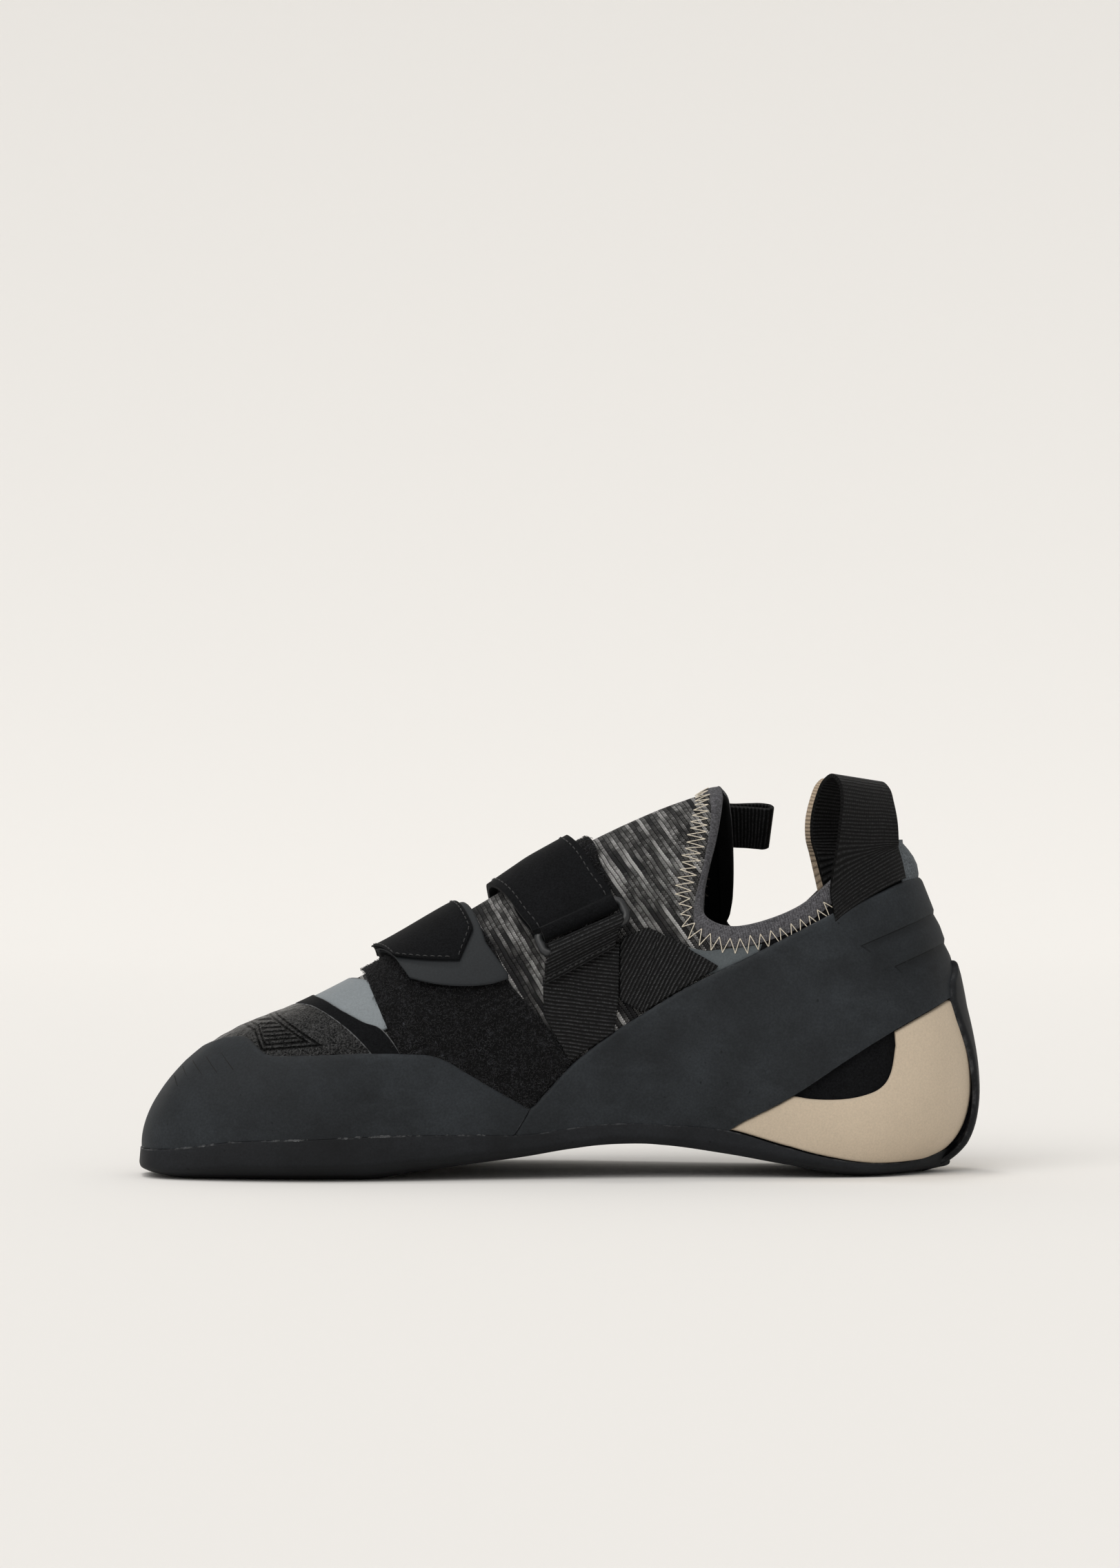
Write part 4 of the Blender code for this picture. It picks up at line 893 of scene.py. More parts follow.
def scoops(tree):
    """Two scoops round the back of the heel: deep below a sharp upper edge, and flush at the lower edge."""
    view = side_view(tree)
    total = 0.0
    for upper_start, upper_stop, lower_start in BAND_SCOOPS:
        below = times(tree, off_line(tree, view, upper_start, upper_stop), -1.0)
        inside = off_line(tree, view, upper_start, lower_start)
        edge_step = stretch(tree, below, -0.12, 0.12)
        out = stretch(tree, below, 0.0, SCOOP_WIDE, 1.0, 0.0)
        begun = stretch(tree, inside, -0.12, 0.25)
        total = scaled(tree, times(tree, edge_step, out), begun, total)
    return reckon(tree, "SUBTRACT", 1.0, total)


def rubber_finish(name, rgb, marks=None):
    """Matt rubber: cloudy, dusty, with crumbs of glue along its edges, and painted shade inside its marks
    when they are given.
    """
    made, tree, shader = new_finish(name)
    place = object_place(tree)
    cloud = noise(tree, place, 42.0, 6.0, 0.62)
    fine = noise(tree, place, 1500.0, 3.0, 0.6)
    drawn_out = add(tree, "Mapping", {0: place, "Scale": (30.0, 30.0, 62.0)}).outputs[0]
    smear = noise(tree, drawn_out, 1.0, 6.0, 0.68)
    base = ramp(tree, cloud, [(0.28, shade(rgb, 0.62)), (0.5, rgb), (0.74, shade(rgb, 1.55))])
    base = blend(tree, stretch(tree, smear, 0.52, 0.76, 0.0, 0.5), base, shade(rgb, 2.2))
    base = darkened(tree, base, fine, 0.35, 0.7, 0.82, 1.16)
    specks = stretch(tree, noise(tree, place, 620.0, 1.0, 0.4), 0.76, 0.80, 0.0, 0.7)
    base = blend(tree, specks, base, shade(rgb, 0.35))
    low = add(tree, "Attribute", attribute_name="low").outputs["Fac"]
    fade = stretch(tree, side_view(tree)[0], -26.0, -8.0, 1.0, 0.12)
    crumbs = noise(tree, place, 260.0, 5.0, 0.72)
    reach = stretch(tree, crumbs, 0.48, 0.70, 0.0, 0.45)
    glue = stretch(tree, reckon(tree, "SUBTRACT", reach, low), -0.02, 0.1, 0.0, 0.55)
    base = blend(tree, times(tree, glue, fade), base, (0.17, 0.175, 0.18))
    chips = stretch(tree, noise(tree, place, 190.0, 5.0, 0.72), 0.50, 0.66, 0.0, 0.6)
    rim = stretch(tree, rim_distance(tree), 0.1, 0.55, 0.6, 0.0)
    base = blend(tree, times(tree, chips, rim), base, (0.15, 0.155, 0.16))
    layers = [(cloud, 0.35, 0.5), (noise(tree, place, 330.0, 5.0, 0.6), 0.25, 0.12), (fine, 0.3, 0.05)]
    if marks is not None:
        pressed = marks(tree)
        layers.insert(0, (pressed, 1.0, 0.9))
        # Painted shade: the colour darkens inside the marks, such as the scoops of the heel band.
        base = darkened(tree, base, pressed, 0.0, 1.0, 0.6, 1.0)
    dress(tree, shader, base=base, rough=stretch(tree, cloud, 0.3, 0.75, 0.58, 0.72), shine=0.16)
    bumps(tree, shader, *layers)
    return made


def knit_finish(name, light):
    """Knit of pale and dark yarn: rows across the foot, with a small leaning arch for each stitch and painted
    shade between the arches.
    """
    made, tree, shader = new_finish(name)
    across, along = pattern_place(tree)
    place = object_place(tree)
    wander = stretch(tree, noise(tree, place, 170.0, 3.0, 0.5), 0.0, 1.0, -0.45, 0.45)
    rows = reckon(tree, "DIVIDE", reckon(tree, "ADD", across, wander), KNIT_ROW)
    row, up = reckon(tree, "FLOOR", rows), reckon(tree, "FRACT", rows)
    run = reckon(tree, "DIVIDE", reckon(tree, "ADD", along, wander), KNIT_STITCH)
    run = scaled(tree, up, 0.3, scaled(tree, row, 0.37, run))
    aside = scaled(tree, reckon(tree, "FRACT", run), KNIT_STITCH, -KNIT_STITCH / 2)
    above = reckon(tree, "MAXIMUM", scaled(tree, up, 0.72, -0.36), 0.0)
    aside_square = times(tree, aside, aside)
    away = reckon(tree, "SQRT", scaled(tree, above, above, aside_square))
    off = reckon(tree, "ABSOLUTE", reckon(tree, "SUBTRACT", away, 0.2))
    yarn_line = stretch(tree, off, 0.04, 0.13, 1.0, 0.0)
    arch = times(tree, yarn_line, stretch(tree, up, 0.0, 0.16, 0.2, 1.0))
    streak_inputs = {0: times(tree, row, 7.31), 1: times(tree, along, 0.07)}
    streak_place = add(tree, "CombineXYZ", streak_inputs).outputs[0]
    streak = noise(tree, streak_place, 1.0, 2.0, 0.6)
    of_row = add(tree, "TexWhiteNoise", {"W": row}, noise_dimensions="1D").outputs["Value"]
    stitch_place = add(tree, "CombineXYZ", {0: row, 1: reckon(tree, "FLOOR", run)}).outputs[0]
    chance = add(tree, "TexWhiteNoise", {"Vector": stitch_place}, noise_dimensions="2D").outputs["Value"]
    pale = scaled(tree, streak, 2.3, -1.15)
    pale = reckon(tree, "ADD", pale, scaled(tree, of_row, 0.7, 0.15))
    pale = reckon(tree, "ADD", pale, scaled(tree, chance, 0.26, -0.13))
    stops = [(0.12, tint("knit_dark")), (0.42, shade(light, 0.14)), (0.68, shade(light, 0.42)), (1.0, light)]
    yarn = ramp(tree, pale, stops)
    # Painted shade: the colour drops to a twentieth between the arches of yarn and at the start of each row.
    base = darkened(tree, yarn, arch, 0.0, 1.0, 0.05, 1.0)
    dress(tree, shader, base=base, rough=0.9, shine=0.1, sheen=0.05)
    bumps(tree, shader, (arch, 0.8, 0.3), (noise(tree, place, 3200.0, 2.0), 0.4, 0.08))
    return made


def fine_knit_finish(name, rgb, pitch):
    """Fine knit with thin ribs across the binding, lighter on their crests and darker between them as painted
    light and shade.
    """
    made, tree, shader = new_finish(name)
    across, along = pattern_place(tree)
    place = object_place(tree)
    wander = stretch(tree, noise(tree, place, 420.0, 2.0, 0.5), 0.0, 1.0, -0.35, 0.35)
    across, along = reckon(tree, "ADD", across, wander), reckon(tree, "ADD", along, wander)
    ribs = reckon(tree, "SINE", times(tree, across, 2 * math.pi / pitch))
    loops = reckon(tree, "SINE", times(tree, along, 2 * math.pi / (pitch * 0.8)))
    crossed = times(tree, ribs, loops)
    height = scaled(tree, crossed, 0.4, times(tree, ribs, 0.4))
    speck = noise(tree, place, 1500.0, 2.0, 0.7)
    base = ramp(tree, speck, [(0.3, shade(rgb, 0.5)), (0.5, rgb), (0.72, shade(rgb, 1.75))])
    # Painted light and shade: lighter on the crests of the ribs, darker between them.
    base = darkened(tree, base, height, -0.8, 0.6, 0.5, 1.12)
    dress(tree, shader, base=base, rough=0.92, shine=0.12, sheen=0.08)
    bumps(tree, shader, (height, 0.7, 0.2), (speck, 0.5, 0.1))
    return made


def suede_finish(name, rgb, nap=1.0, rough=0.9, shine=0.06, pale_edge=0.0):
    """Suede or microfibre: a short nap with soft clouds, darker towards its edges, with a painted highlight
    along its edges when pale_edge is given.
    """
    made, tree, shader = new_finish(name)
    place = object_place(tree)
    cloud = noise(tree, place, 70.0, 5.0, 0.6)
    hairs = noise(tree, place, 1700.0, 3.0, 0.7)
    stops = [(0.3, shade(rgb, 1 - 0.22 * nap)), (0.55, rgb), (0.75, shade(rgb, 1 + 0.2 * nap))]
    base = ramp(tree, cloud, stops)
    base = darkened(tree, base, hairs, 0.3, 0.72, 1 - 0.6 * nap, 1 + 0.6 * nap)
    rim = rim_distance(tree)
    # The colour is darker towards the piece's edges, over the last 1.3 mm.
    base = blend(tree, stretch(tree, rim, 0.0, 1.3, 0.3, 0.0), base, shade(rgb, 0.5))
    if pale_edge:
        # Painted highlight: a broken pale line along the piece's edges.
        edge_highlight = stretch(tree, noise(tree, place, 500.0, 4.0, 0.6), 0.30, 0.55, 0.0, pale_edge)
        close = stretch(tree, rim, 0.3, 0.6, 1.0, 0.0)
        base = blend(tree, times(tree, edge_highlight, close), base, (0.16, 0.165, 0.17))
    dress(tree, shader, base=base, rough=rough, shine=shine, sheen=0.05 * min(nap, 1.0), sheen_rough=0.4)
    bumps(tree, shader, (cloud, 0.25, 0.35), (hairs, 0.6 * nap + 0.1, 0.12))
    return made


def webbing_finish(name, rgb, slant=0.55, dark=0.45, bright=15.0, pitch=1.1):
    """Ribbed webbing: a thin line of small slanting threads on the crest of each rib, with painted highlights
    on the crests and painted shade between the ribs.
    """
    made, tree, shader = new_finish(name)
    across, along = pattern_place(tree)
    wander = noise(tree, object_place(tree), 90.0, 2.0, 0.5)
    along = reckon(tree, "ADD", along, stretch(tree, wander, 0.0, 1.0, -0.4, 0.4))
    rib = reckon(tree, "ABSOLUTE", reckon(tree, "SINE", times(tree, along, math.pi / pitch)))
    run = scaled(tree, along, slant, across)
    thread = reckon(tree, "ABSOLUTE", reckon(tree, "SINE", times(tree, run, math.pi / 0.5)))
    height = times(tree, rib, scaled(tree, thread, 0.45, 0.55))
    speck = noise(tree, object_place(tree), 1300.0, 2.0, 0.7)
    crest = stretch(tree, height, 0.55, 0.98)
    lit = times(tree, crest, stretch(tree, speck, 0.3, 0.7, 0.25, 1.2))
    # Painted highlight on the crests of the ribs, up to this many times brighter, and painted shade between
    # them.
    stops = [(0.0, shade(rgb, dark)), (0.5, shade(rgb, 1 + bright * 0.25)), (1.0, shade(rgb, bright))]
    base = ramp(tree, lit, stops)
    dress(tree, shader, base=base, rough=0.6, shine=0.12)
    bumps(tree, shader, (height, 0.9, 0.3), (speck, 0.3, 0.05))
    return made


def pile_finish(name, rgb):
    """Ground of the fuzzy panel: a mat of fine curls, with painted glints on a few of them and painted shade
    between them.
    """
    made, tree, shader = new_finish(name)
    place = object_place(tree)
    layers = []
    for scale in (620.0, 980.0):
        inputs = {"Vector": place, "Scale": scale, "Detail": 2.0, "Distortion": 1.6}
        tangle = add(tree, "TexNoise", inputs).outputs["Fac"]
        ridge = reckon(tree, "ABSOLUTE", scaled(tree, tangle, 2.0, -1.0))
        layers.append(stretch(tree, ridge, 0.0, 0.13, 1.0, 0.0))
    curls_seen = reckon(tree, "MAXIMUM", *layers)
    lit = times(tree, curls_seen, stretch(tree, noise(tree, place, 520.0, 3.0, 0.7), 0.42, 0.66))
    # Painted glints on the curls, up to 18 times brighter than the ground, and painted shade between them.
    base = ramp(tree, lit, [(0.0, shade(rgb, 0.7)), (0.45, shade(rgb, 2.2)), (1.0, shade(rgb, 18.0))])
    dress(tree, shader, base=base, rough=0.8, shine=0.15)
    bumps(tree, shader, (curls_seen, 1.0, 0.4), (noise(tree, place, 260.0, 3.0), 0.5, 0.5))
    return made


def pressed_ribs(tree):
    """A plain field of ribs with a double frame, pressed into the toe patch."""
    view = side_view(tree)
    low = off_line(tree, view, (-90.6, 39.2), (-76.6, 40.5))
    right = off_line(tree, view, (-75.8, 43.1), (-86.2, 49.5))
    left = off_line(tree, view, (-93.2, 44.9), (-90.6, 39.2))
    front = off_line(tree, view, (-97.0, 46.2), (-93.2, 44.9))
    deep = reckon(tree, "MINIMUM", reckon(tree, "MINIMUM", low, right), reckon(tree, "MAXIMUM", left, front))
    cut = 0.0
    for line in (0.2, 1.55):
        away = reckon(tree, "ABSOLUTE", reckon(tree, "SUBTRACT", deep, line))
        cut = reckon(tree, "MAXIMUM", cut, stretch(tree, away, 0.12, 0.42, 1.0, 0.0))
    saw = reckon(tree, "FRACT", reckon(tree, "DIVIDE", low, 1.15))
    waves = reckon(tree, "ABSOLUTE", scaled(tree, saw, 2.0, -1.0))
    ribs = times(tree, stretch(tree, waves, 0.2, 0.65, 1.0, 0.0), stretch(tree, deep, 2.0, 2.4))
    return reckon(tree, "SUBTRACT", 1.0, reckon(tree, "MAXIMUM", cut, ribs))


def grained_finish(name, rgb):
    """Shiny black leather with a crinkled grain, and painted shade in its pressed ribs and frame."""
    made, tree, shader = new_finish(name)
    place = object_place(tree)
    bent = noise(tree, place, 330.0, 5.0, 0.68)
    cells = add(tree, "TexVoronoi", {"Vector": place, "Scale": 900.0}, feature="DISTANCE_TO_EDGE")
    creases = stretch(tree, cells.outputs["Distance"], 0.0, 0.25)
    pressed = pressed_ribs(tree)
    base = ramp(tree, bent, [(0.3, shade(rgb, 0.4)), (0.7, shade(rgb, 0.9))])
    # Painted shade: the colour darkens in the pressed ribs and frame lines.
    base = darkened(tree, base, pressed, 0.0, 1.0, 0.3, 1.0)
    glint = stretch(tree, noise(tree, place, 1700.0, 3.0, 0.6), 0.38, 0.66, 0.03, 0.36)
    glint = times(tree, glint, stretch(tree, pressed, 0.0, 1.0, 0.15, 1.0))
    dress(tree, shader, base=base, rough=stretch(tree, bent, 0.3, 0.7, 0.14, 0.26), shine=glint)
    bumps(tree, shader, (pressed, 1.0, 0.6), (bent, 1.0, 0.8), (creases, 0.5, 0.16))
    return made


def plain_finish(name, rgb, rough, fine_scale=900.0, strength=0.2, deep=0.05, speckle=0.2):
    """A moulded or twisted finish with a light speckle."""
    made, tree, shader = new_finish(name)
    place = object_place(tree)
    speck = noise(tree, place, fine_scale, 4.0, 0.6)
    base = ramp(tree, speck, [(0.3, shade(rgb, 1 - speckle)), (0.7, shade(rgb, 1 + speckle))])
    dress(tree, shader, base=base, rough=rough)
    bumps(tree, shader, (speck, strength, deep))
    return made


# Each finish: its maker, its colour, how much lighter that is made, and the settings of the maker
FINISHES = {
    "rubber": (rubber_finish, "rubber", 1.0),
    "sole": (rubber_finish, "sole", 1.0),
    "knit": (knit_finish, "knit_pale", 1.0),
    "binding": (fine_knit_finish, "binding", 1.0, 0.8),
    "lining": (suede_finish, "lining", 1.0, 0.6),
    "band": (rubber_finish, "rubber", 1.0, scoops),
    "beige": (suede_finish, "beige", 1.0, 0.14, 0.62, 0.2),
    "suede": (suede_finish, "suede", 1.0, 0.9),
    "trim": (suede_finish, "suede", 1.0, 0.9, 0.9, 0.06, 1.0),
    "panel": (suede_finish, "panel", 1.0, 0.22, 0.55, 0.28),
    "backing": (suede_finish, "backing", 1.0, 0.3, 0.7, 0.2),
    "strap": (suede_finish, "strap", 1.0, 0.25, 0.62, 0.16),
    "heel": (suede_finish, "heel", 1.0, 0.9),
    "web": (webbing_finish, "web", 1.0),
    "loop_web": (webbing_finish, "web", 1.0, 0.0, 0.5, 9.0),
    "beige_web": (webbing_finish, "beige_web", 1.0, 0.0, 0.75, 1.15),
    "pile": (pile_finish, "pile", 1.0),
    # The curls are 3.4 times lighter than the ground: partly lighter yarn, partly painted glints.
    "curl": (plain_finish, "pile", 3.4, 0.55, 160.0, 0.2, 0.05, 0.85),
    "grained": (grained_finish, "grained", 1.0),
    "ring": (plain_finish, "ring", 1.0, 0.42, 700.0, 0.15, 0.06),
    "thread": (plain_finish, "thread", 1.0, 0.75, 2600.0, 0.6, 0.1, 0.3),
    "black_thread": (plain_finish, "suede", 1.2, 0.5, 2600.0, 0.6, 0.1, 0.3),
    # The inside seam: the cream thread at 0.12 of its brightness, as painted shade inside the collar.
    "dull_thread": (plain_finish, "thread", 0.12, 0.8, 2600.0, 0.6, 0.1, 0.3),
    # Near-black threads that stand for the shade inside the slits: painted shade.
    "slit": (plain_finish, "sole", 0.12, 0.9),
    "board": (suede_finish, "lining", 3.0, 0.8),
}


def finish(name):
    """One of the finishes, made when it is first asked for."""
    known = bpy.data.materials.get("shoe_" + name)
    if known is not None:
        return known
    maker, colour_name, factor, *settings = FINISHES[name]
    return maker("shoe_" + name, shade(tint(colour_name), factor), *settings)


# Sole


def outward_at(us, side):
    """Level ways out from the feather line."""
    toward = last(us + 0.01, side * np.ones_like(us)) - last(us - 0.01, side * np.ones_like(us))
    outward = np.column_stack([-side * toward[:, 1], side * toward[:, 0], np.zeros(len(us))])
    return unit(outward)


def sole_corners(us, side):
    """The corner lines of the outsole on one side: feather, top, wall edge, step and underside."""
    foot = last(us, side * np.ones_like(us))
    outward = outward_at(us, side)
    heel = np.clip((us - LAST + 2.2) / 2.2, 0.0, 1.0)[:, None]
    tip = np.clip((0.9 - us) / 0.9, 0.0, 1.0)[:, None]
    reach = 2.4 + 10.0 * heel**3 - 1.1 * tip**2
    up = np.array([0.0, 0.0, 1.0])
    feather = foot - up * GAP
    top = feather + outward * reach + up * 3.4 * heel**3
    low_z = np.maximum(sole_line("low", foot[:, 0]), 0.0)
    bevel = sole_line("bevel", foot[:, 0])[:, None]
    wall_edge = feather + outward * (reach + 0.5 - 3.2 * heel**3)
    wall_edge[:, 2] = sole_line("edge", foot[:, 0]) + 1.4 * heel[:, 0] ** 2
    under = feather + outward * (reach - bevel * (1 + 0.4 * heel))
    under[:, 2] = low_z
    step = feather + outward * (reach - bevel * 0.35)
    step[:, 2] = low_z + (wall_edge[:, 2] - low_z) * 0.42
    return [feather, top, wall_edge, step, under]


def rounded_rows(corners, reaches, steps=4):
    """Rows of points along corner lines, with each inner corner rounded by its own reach."""
    rows = [corners[0]]
    for before, here, after, reach in zip(corners, corners[1:], corners[2:], reaches):
        back, ahead = before - here, after - here
        back_run = np.linalg.norm(back, axis=1, keepdims=True)
        ahead_run = np.linalg.norm(ahead, axis=1, keepdims=True)
        start = here + back / back_run * np.minimum(reach, back_run * 0.45)
        stop = here + ahead / ahead_run * np.minimum(reach, ahead_run * 0.45)
        for t in np.linspace(0.0, 1.0, steps):
            rows.append((1 - t) ** 2 * start + 2 * t * (1 - t) * here + t**2 * stop)
    return rows + [corners[-1]]


def closed_slab(name, sides, reaches):
    """A slab between the corner lines of both sides, closed across its middle, above and below."""
    middle_top = (sides[-1][0] + sides[1][0]) / 2
    middle_low = (sides[-1][-1] + sides[1][-1]) / 2
    fields = []
    for side in (1, -1):
        fields.append(np.array(rounded_rows([middle_top, *sides[side], middle_low], reaches)))
    points = np.concatenate([fields[0][:, ::-1], fields[1][:, 1:]], axis=1)
    rows, columns = runs(points, 0), runs(points, 1)
    rim = np.abs(rows - rows[6:7])
    item = grid_piece(name, points, np.stack([columns, rows], axis=-1), rim=rim, low=rim)
    merge(item, 0.00003)
    edit(item, bpy.ops.mesh.normals_make_consistent, inside=False)
    return smooth(item, 38.0)


def strip_relief(base):
    """The strip is thickest low on the heel."""
    heights = [5.0, 12.0, 20.0, 30.0, 40.0, 50.0, 60.0]
    return np.interp(base[..., 2], heights, [1.6, 2.0, 1.1, 0.35, -0.2, -0.6, 0.0])


def strip_field():
    """Places of the heel strip, whose front edge swings forward below its rounded top."""
    parts, spread = eased(60)[:, None], np.linspace(0.0, 1.0, 24)
    top = share_at(float(LAST), z=STRIP_TOP)
    front = np.interp(parts * top, [row.share for row in STRIP_EDGE], [row.section for row in STRIP_EDGE])
    sections = LAST - (LAST - front) * (1 - spread)
    shares = np.broadcast_to(parts * top, sections.shape)
    medial = np.stack([sections, shares - 1], axis=-1)
    lateral = np.stack([sections, 1 - shares], axis=-1)
    return np.concatenate([medial, lateral[:, ::-1][:, 1:]], axis=1)


class SHOE_OT_sole(bpy.types.Operator):
    """Makes the outsole, its strip up the heel and the insole"""

    bl_idname = "shoe.sole"
    bl_label = "Sole"

    def execute(self, context):
        us = np.linspace(0.0, LAST, 260)
        sides = {side: sole_corners(us, side) for side in (-1, 1)}
        plate = closed_slab("sole_plate", sides, (0.2, 0.4, 1.1, 2.0, 1.5))
        settle(plate, "sole", "sole_rubber", "outsole")
        thick = size("strip")
        strip = lay("heel_strip", strip_field(), thick, GAP, 0.5, 1.8, "lrt", strip_relief, body=STRIP_BODY)
        settle(strip, "sole", "sole_rubber", "outsole")
        sides = {}
        for side in (-1, 1):
            foot = last(us, side * np.ones_like(us))
            low = foot - outward_at(us, side) * 3.0
            low[:, 2] = foot[:, 2] + 0.2
            sides[side] = [low + np.array([0.0, 0.0, 2.6]), low]
        board = closed_slab("insole_board", sides, (0.7, 0.7))
        settle(board, "board", "insole_board", "insole")
        return {"FINISHED"}


# Upper


def knit_lengths(points):
    """Pattern lengths of the knit: along the crown to each row, and along the row away from the crown."""
    line = last(np.linspace(0.0, PEAK, 240), 0.0)[:, [0, 2]]
    steps = np.linspace(1.0, 130.0, 80)[:, None]
    before = line[0] + unit(line[0] - line[1]) * steps[::-1]
    after = line[-1] + unit(line[-1] - line[-2]) * steps
    line = np.vstack([before, line, after])
    run = runs(line, 0)
    turn_at = [-70.0, -20.0, 10.0, 50.0, 130.0]
    turn = np.radians(np.interp(line[:, 0], turn_at, [26.0, 32.0, 35.0, 36.0, 42.0]))
    across_way = np.stack([np.cos(turn), np.sin(turn)], axis=1)
    row_way = np.stack([np.sin(turn), -np.cos(turn)], axis=1)
    lean = np.maximum((np.gradient(line, axis=0) / np.gradient(run)[:, None] * across_way).sum(1), 0.3)
    flat = points[..., [0, 2]].reshape(-1, 2)
    across, along = np.empty(len(flat)), np.empty(len(flat))
    for part in np.array_split(np.arange(len(flat)), 20):
        away = flat[part, None] - line[None]
        off = (away * across_way[None]).sum(-1)
        near = np.argmin(np.abs(off), axis=1)
        pick = np.arange(len(part))
        across[part] = run[near] + off[pick, near] / lean[near]
        along[part] = (away[pick, near] * row_way[near]).sum(-1)
    bend = 22.0
    over = np.clip(along, 0.0, bend)
    along = np.where(along < bend, bend * np.arccos(1 - over / bend), along + bend * (np.pi / 2 - 1))
    return np.stack([across, along], axis=-1).reshape(points.shape[:2] + (2,))


class SHOE_OT_upper(bpy.types.Operator):
    """Makes the knitted sock with its dark lining"""

    bl_idname = "shoe.upper"
    bl_label = "Upper"

    def execute(self, context):
        us = stepped((0.0, PEAK, 110), (PEAK, LAST, 110))
        shares = np.linspace(0.0, 1.0, 54)
        halves = []
        for side in (-1, 1):
            points = last(us[None, :], side * np.maximum(1 - shares, 1e-6)[:, None])
            uv = knit_lengths(points)
            if side > 0:
                points, uv = points[:, ::-1], uv[:, ::-1]
            halves.append(grid_piece("upper_half", points, uv))
        bpy.ops.object.select_all(action="DESELECT")
        for half in halves:
            half.select_set(True)
        context.view_layer.objects.active = halves[0]
        bpy.ops.object.join()
        sock = context.active_object
        sock.name = "knit_upper"
        merge(sock, 0.00001)
        sock.data.materials.append(finish("knit"))
        sock.data.materials.append(finish("lining"))
        thicken(sock, size("wall"), -1.0, 1)
        smooth(sock, 60.0)
        settle(sock, None, "knit", "upper")
        return {"FINISHED"}


# Rubber


def rand_line():
    """The top line of the rand as sections and shares."""
    tip = np.array([[0.0, share_at(0.0, x=RAND_CROWN_X) - 1]])
    return edge(RAND_TOP, start=tip)


def seam_share(us, sections, shares):
    """The V-shaped seam between rand and band as shares."""
    foot = places([SEAM_FOOT])[0][0]
    return np.interp(us, [0.0, foot, sections[-1]], [0.0, 0.0, shares[-1]]), foot


def band_low_line(us):
    """The lower line of the heel band as shares of the wall, running on under the heel strip."""
    sections, shares = edge(BAND_LOW)
    back = share_at(float(LAST), z=BAND_LOW[-1][1] + 2.0)
    inner = sections < STRIP_SECTION
    return np.interp(us, [0.0, *sections[inner], LAST], [0.0, 0.0, *shares[inner][1:], back])


# The scoops round the back of the band: both ends of the upper edge, and the front end of the lower edge
BAND_SCOOPS = [((91.0, 70.6), (112.9, 79.3), (95.2, 67.8)), ((101.4, 64.2), (117.8, 70.8), (104.3, 61.7))]
SCOOP_WIDE = 4.2


def side_of(base, start, stop):
    """Distances from a line of the side view, positive on its left."""
    run = np.subtract(stop, start) / math.dist(start, stop)
    return (base[..., 2] - start[1]) * run[0] - (base[..., 0] - start[0]) * run[1]


def band_relief(base):
    """The scoops, and the slight unevenness of hand-laid rubber."""
    x, z = base[..., 0], base[..., 2]
    level = 0.12 * np.sin(x * 0.11 + z * 0.05) * np.sin(z * 0.13 - x * 0.03)
    for upper_start, upper_stop, lower_start in BAND_SCOOPS:
        below = -side_of(base, upper_start, upper_stop)
        inside = side_of(base, upper_start, lower_start)
        deep = np.clip((below + 0.35) / 0.7, 0, 1) * np.clip(1 - below / SCOOP_WIDE, 0, 1)
        level -= 0.7 * deep * np.clip(inside / 3.0, 0, 1)
    return level


def rand_relief(base):
    """The slight unevenness of hand-laid rubber, drawn thin round the tip."""
    x, y, z = np.moveaxis(base, -1, 0)
    uneven = np.sin(x * 0.12 + z * 0.09) * np.sin(z * 0.16 + y * 0.07)
    return 0.16 * uneven - 0.7 * np.clip((-114.0 - x) / 8.0, 0, 1)


class SHOE_OT_rubber(bpy.types.Operator):
    """Makes the toe rand with its slits and the heel band"""

    bl_idname = "shoe.rubber"
    bl_label = "Rand and band"

    def execute(self, context):
        sections, shares = rand_line()
        us = stepped((0.0, 3.2, 110), (3.2, sections[-1] - 0.004, 90))
        low, foot = seam_share(us, sections, shares)
        low = low + np.where(us > foot, 0.001, 0.0)
        high = np.maximum(np.interp(us, sections, shares), low + 0.004)
        field = round_toe(us, low, high, 40)
        rand = lay("toe_rand_rubber", field, size("rand"), GAP, 0.42, 2.2, "t", rand_relief)
        settle(rand, "rubber", "rand_rubber", "toe_rand")
        back = np.array([[LAST, share_at(float(LAST), z=BAND_BACK_TOP) - 1]])
        top_sections, top_shares = edge(BAND_TOP, end=back)
        us = stepped((foot + 0.01, 8.0, 70), (8.0, 14.6, 90), (14.6, LAST, 110))
        seam = np.interp(us, [foot, sections[-1]], [0.0, shares[-1]])
        high = np.where(us < top_sections[0], seam, np.interp(us, top_sections, top_shares))
        low = np.minimum(band_low_line(us), high - 0.004)
        field = round_heel(us, low, high, 48)
        band = lay("heel_band_rubber", field, size("band"), GAP, 0.42, 2.0, "t", band_relief)
        settle(band, "band", "rand_rubber", "heel_band")
        self.slits()
        return {"FINISHED"}

    def slits(self):
        """Five short slits across the front of the toe, on its medial side, as near-black threads of painted
        shade.
        """
        ends = [
            ((-116.6, 29.4), (-115.2, 27.0)), ((-114.2, 32.2), (-111.5, 28.6)),
            ((-111.0, 34.1), (-107.8, 30.6)), ((-106.8, 35.4), (-103.3, 31.5)),
            ((-102.2, 36.8), (-98.4, 32.6)),
        ]
        level = GAP + size("rand") - 0.08
        rows = []
        for start, stop in ends:
            line = along_line(places(straight([start, stop], 8)), 9, 0.0)
            rows.append(raised(*line.T, np.full(9, level)))
        settle(threads("toe_slits", rows, SLIT_THICK), "slit", "rand_rubber")


# Heel cups


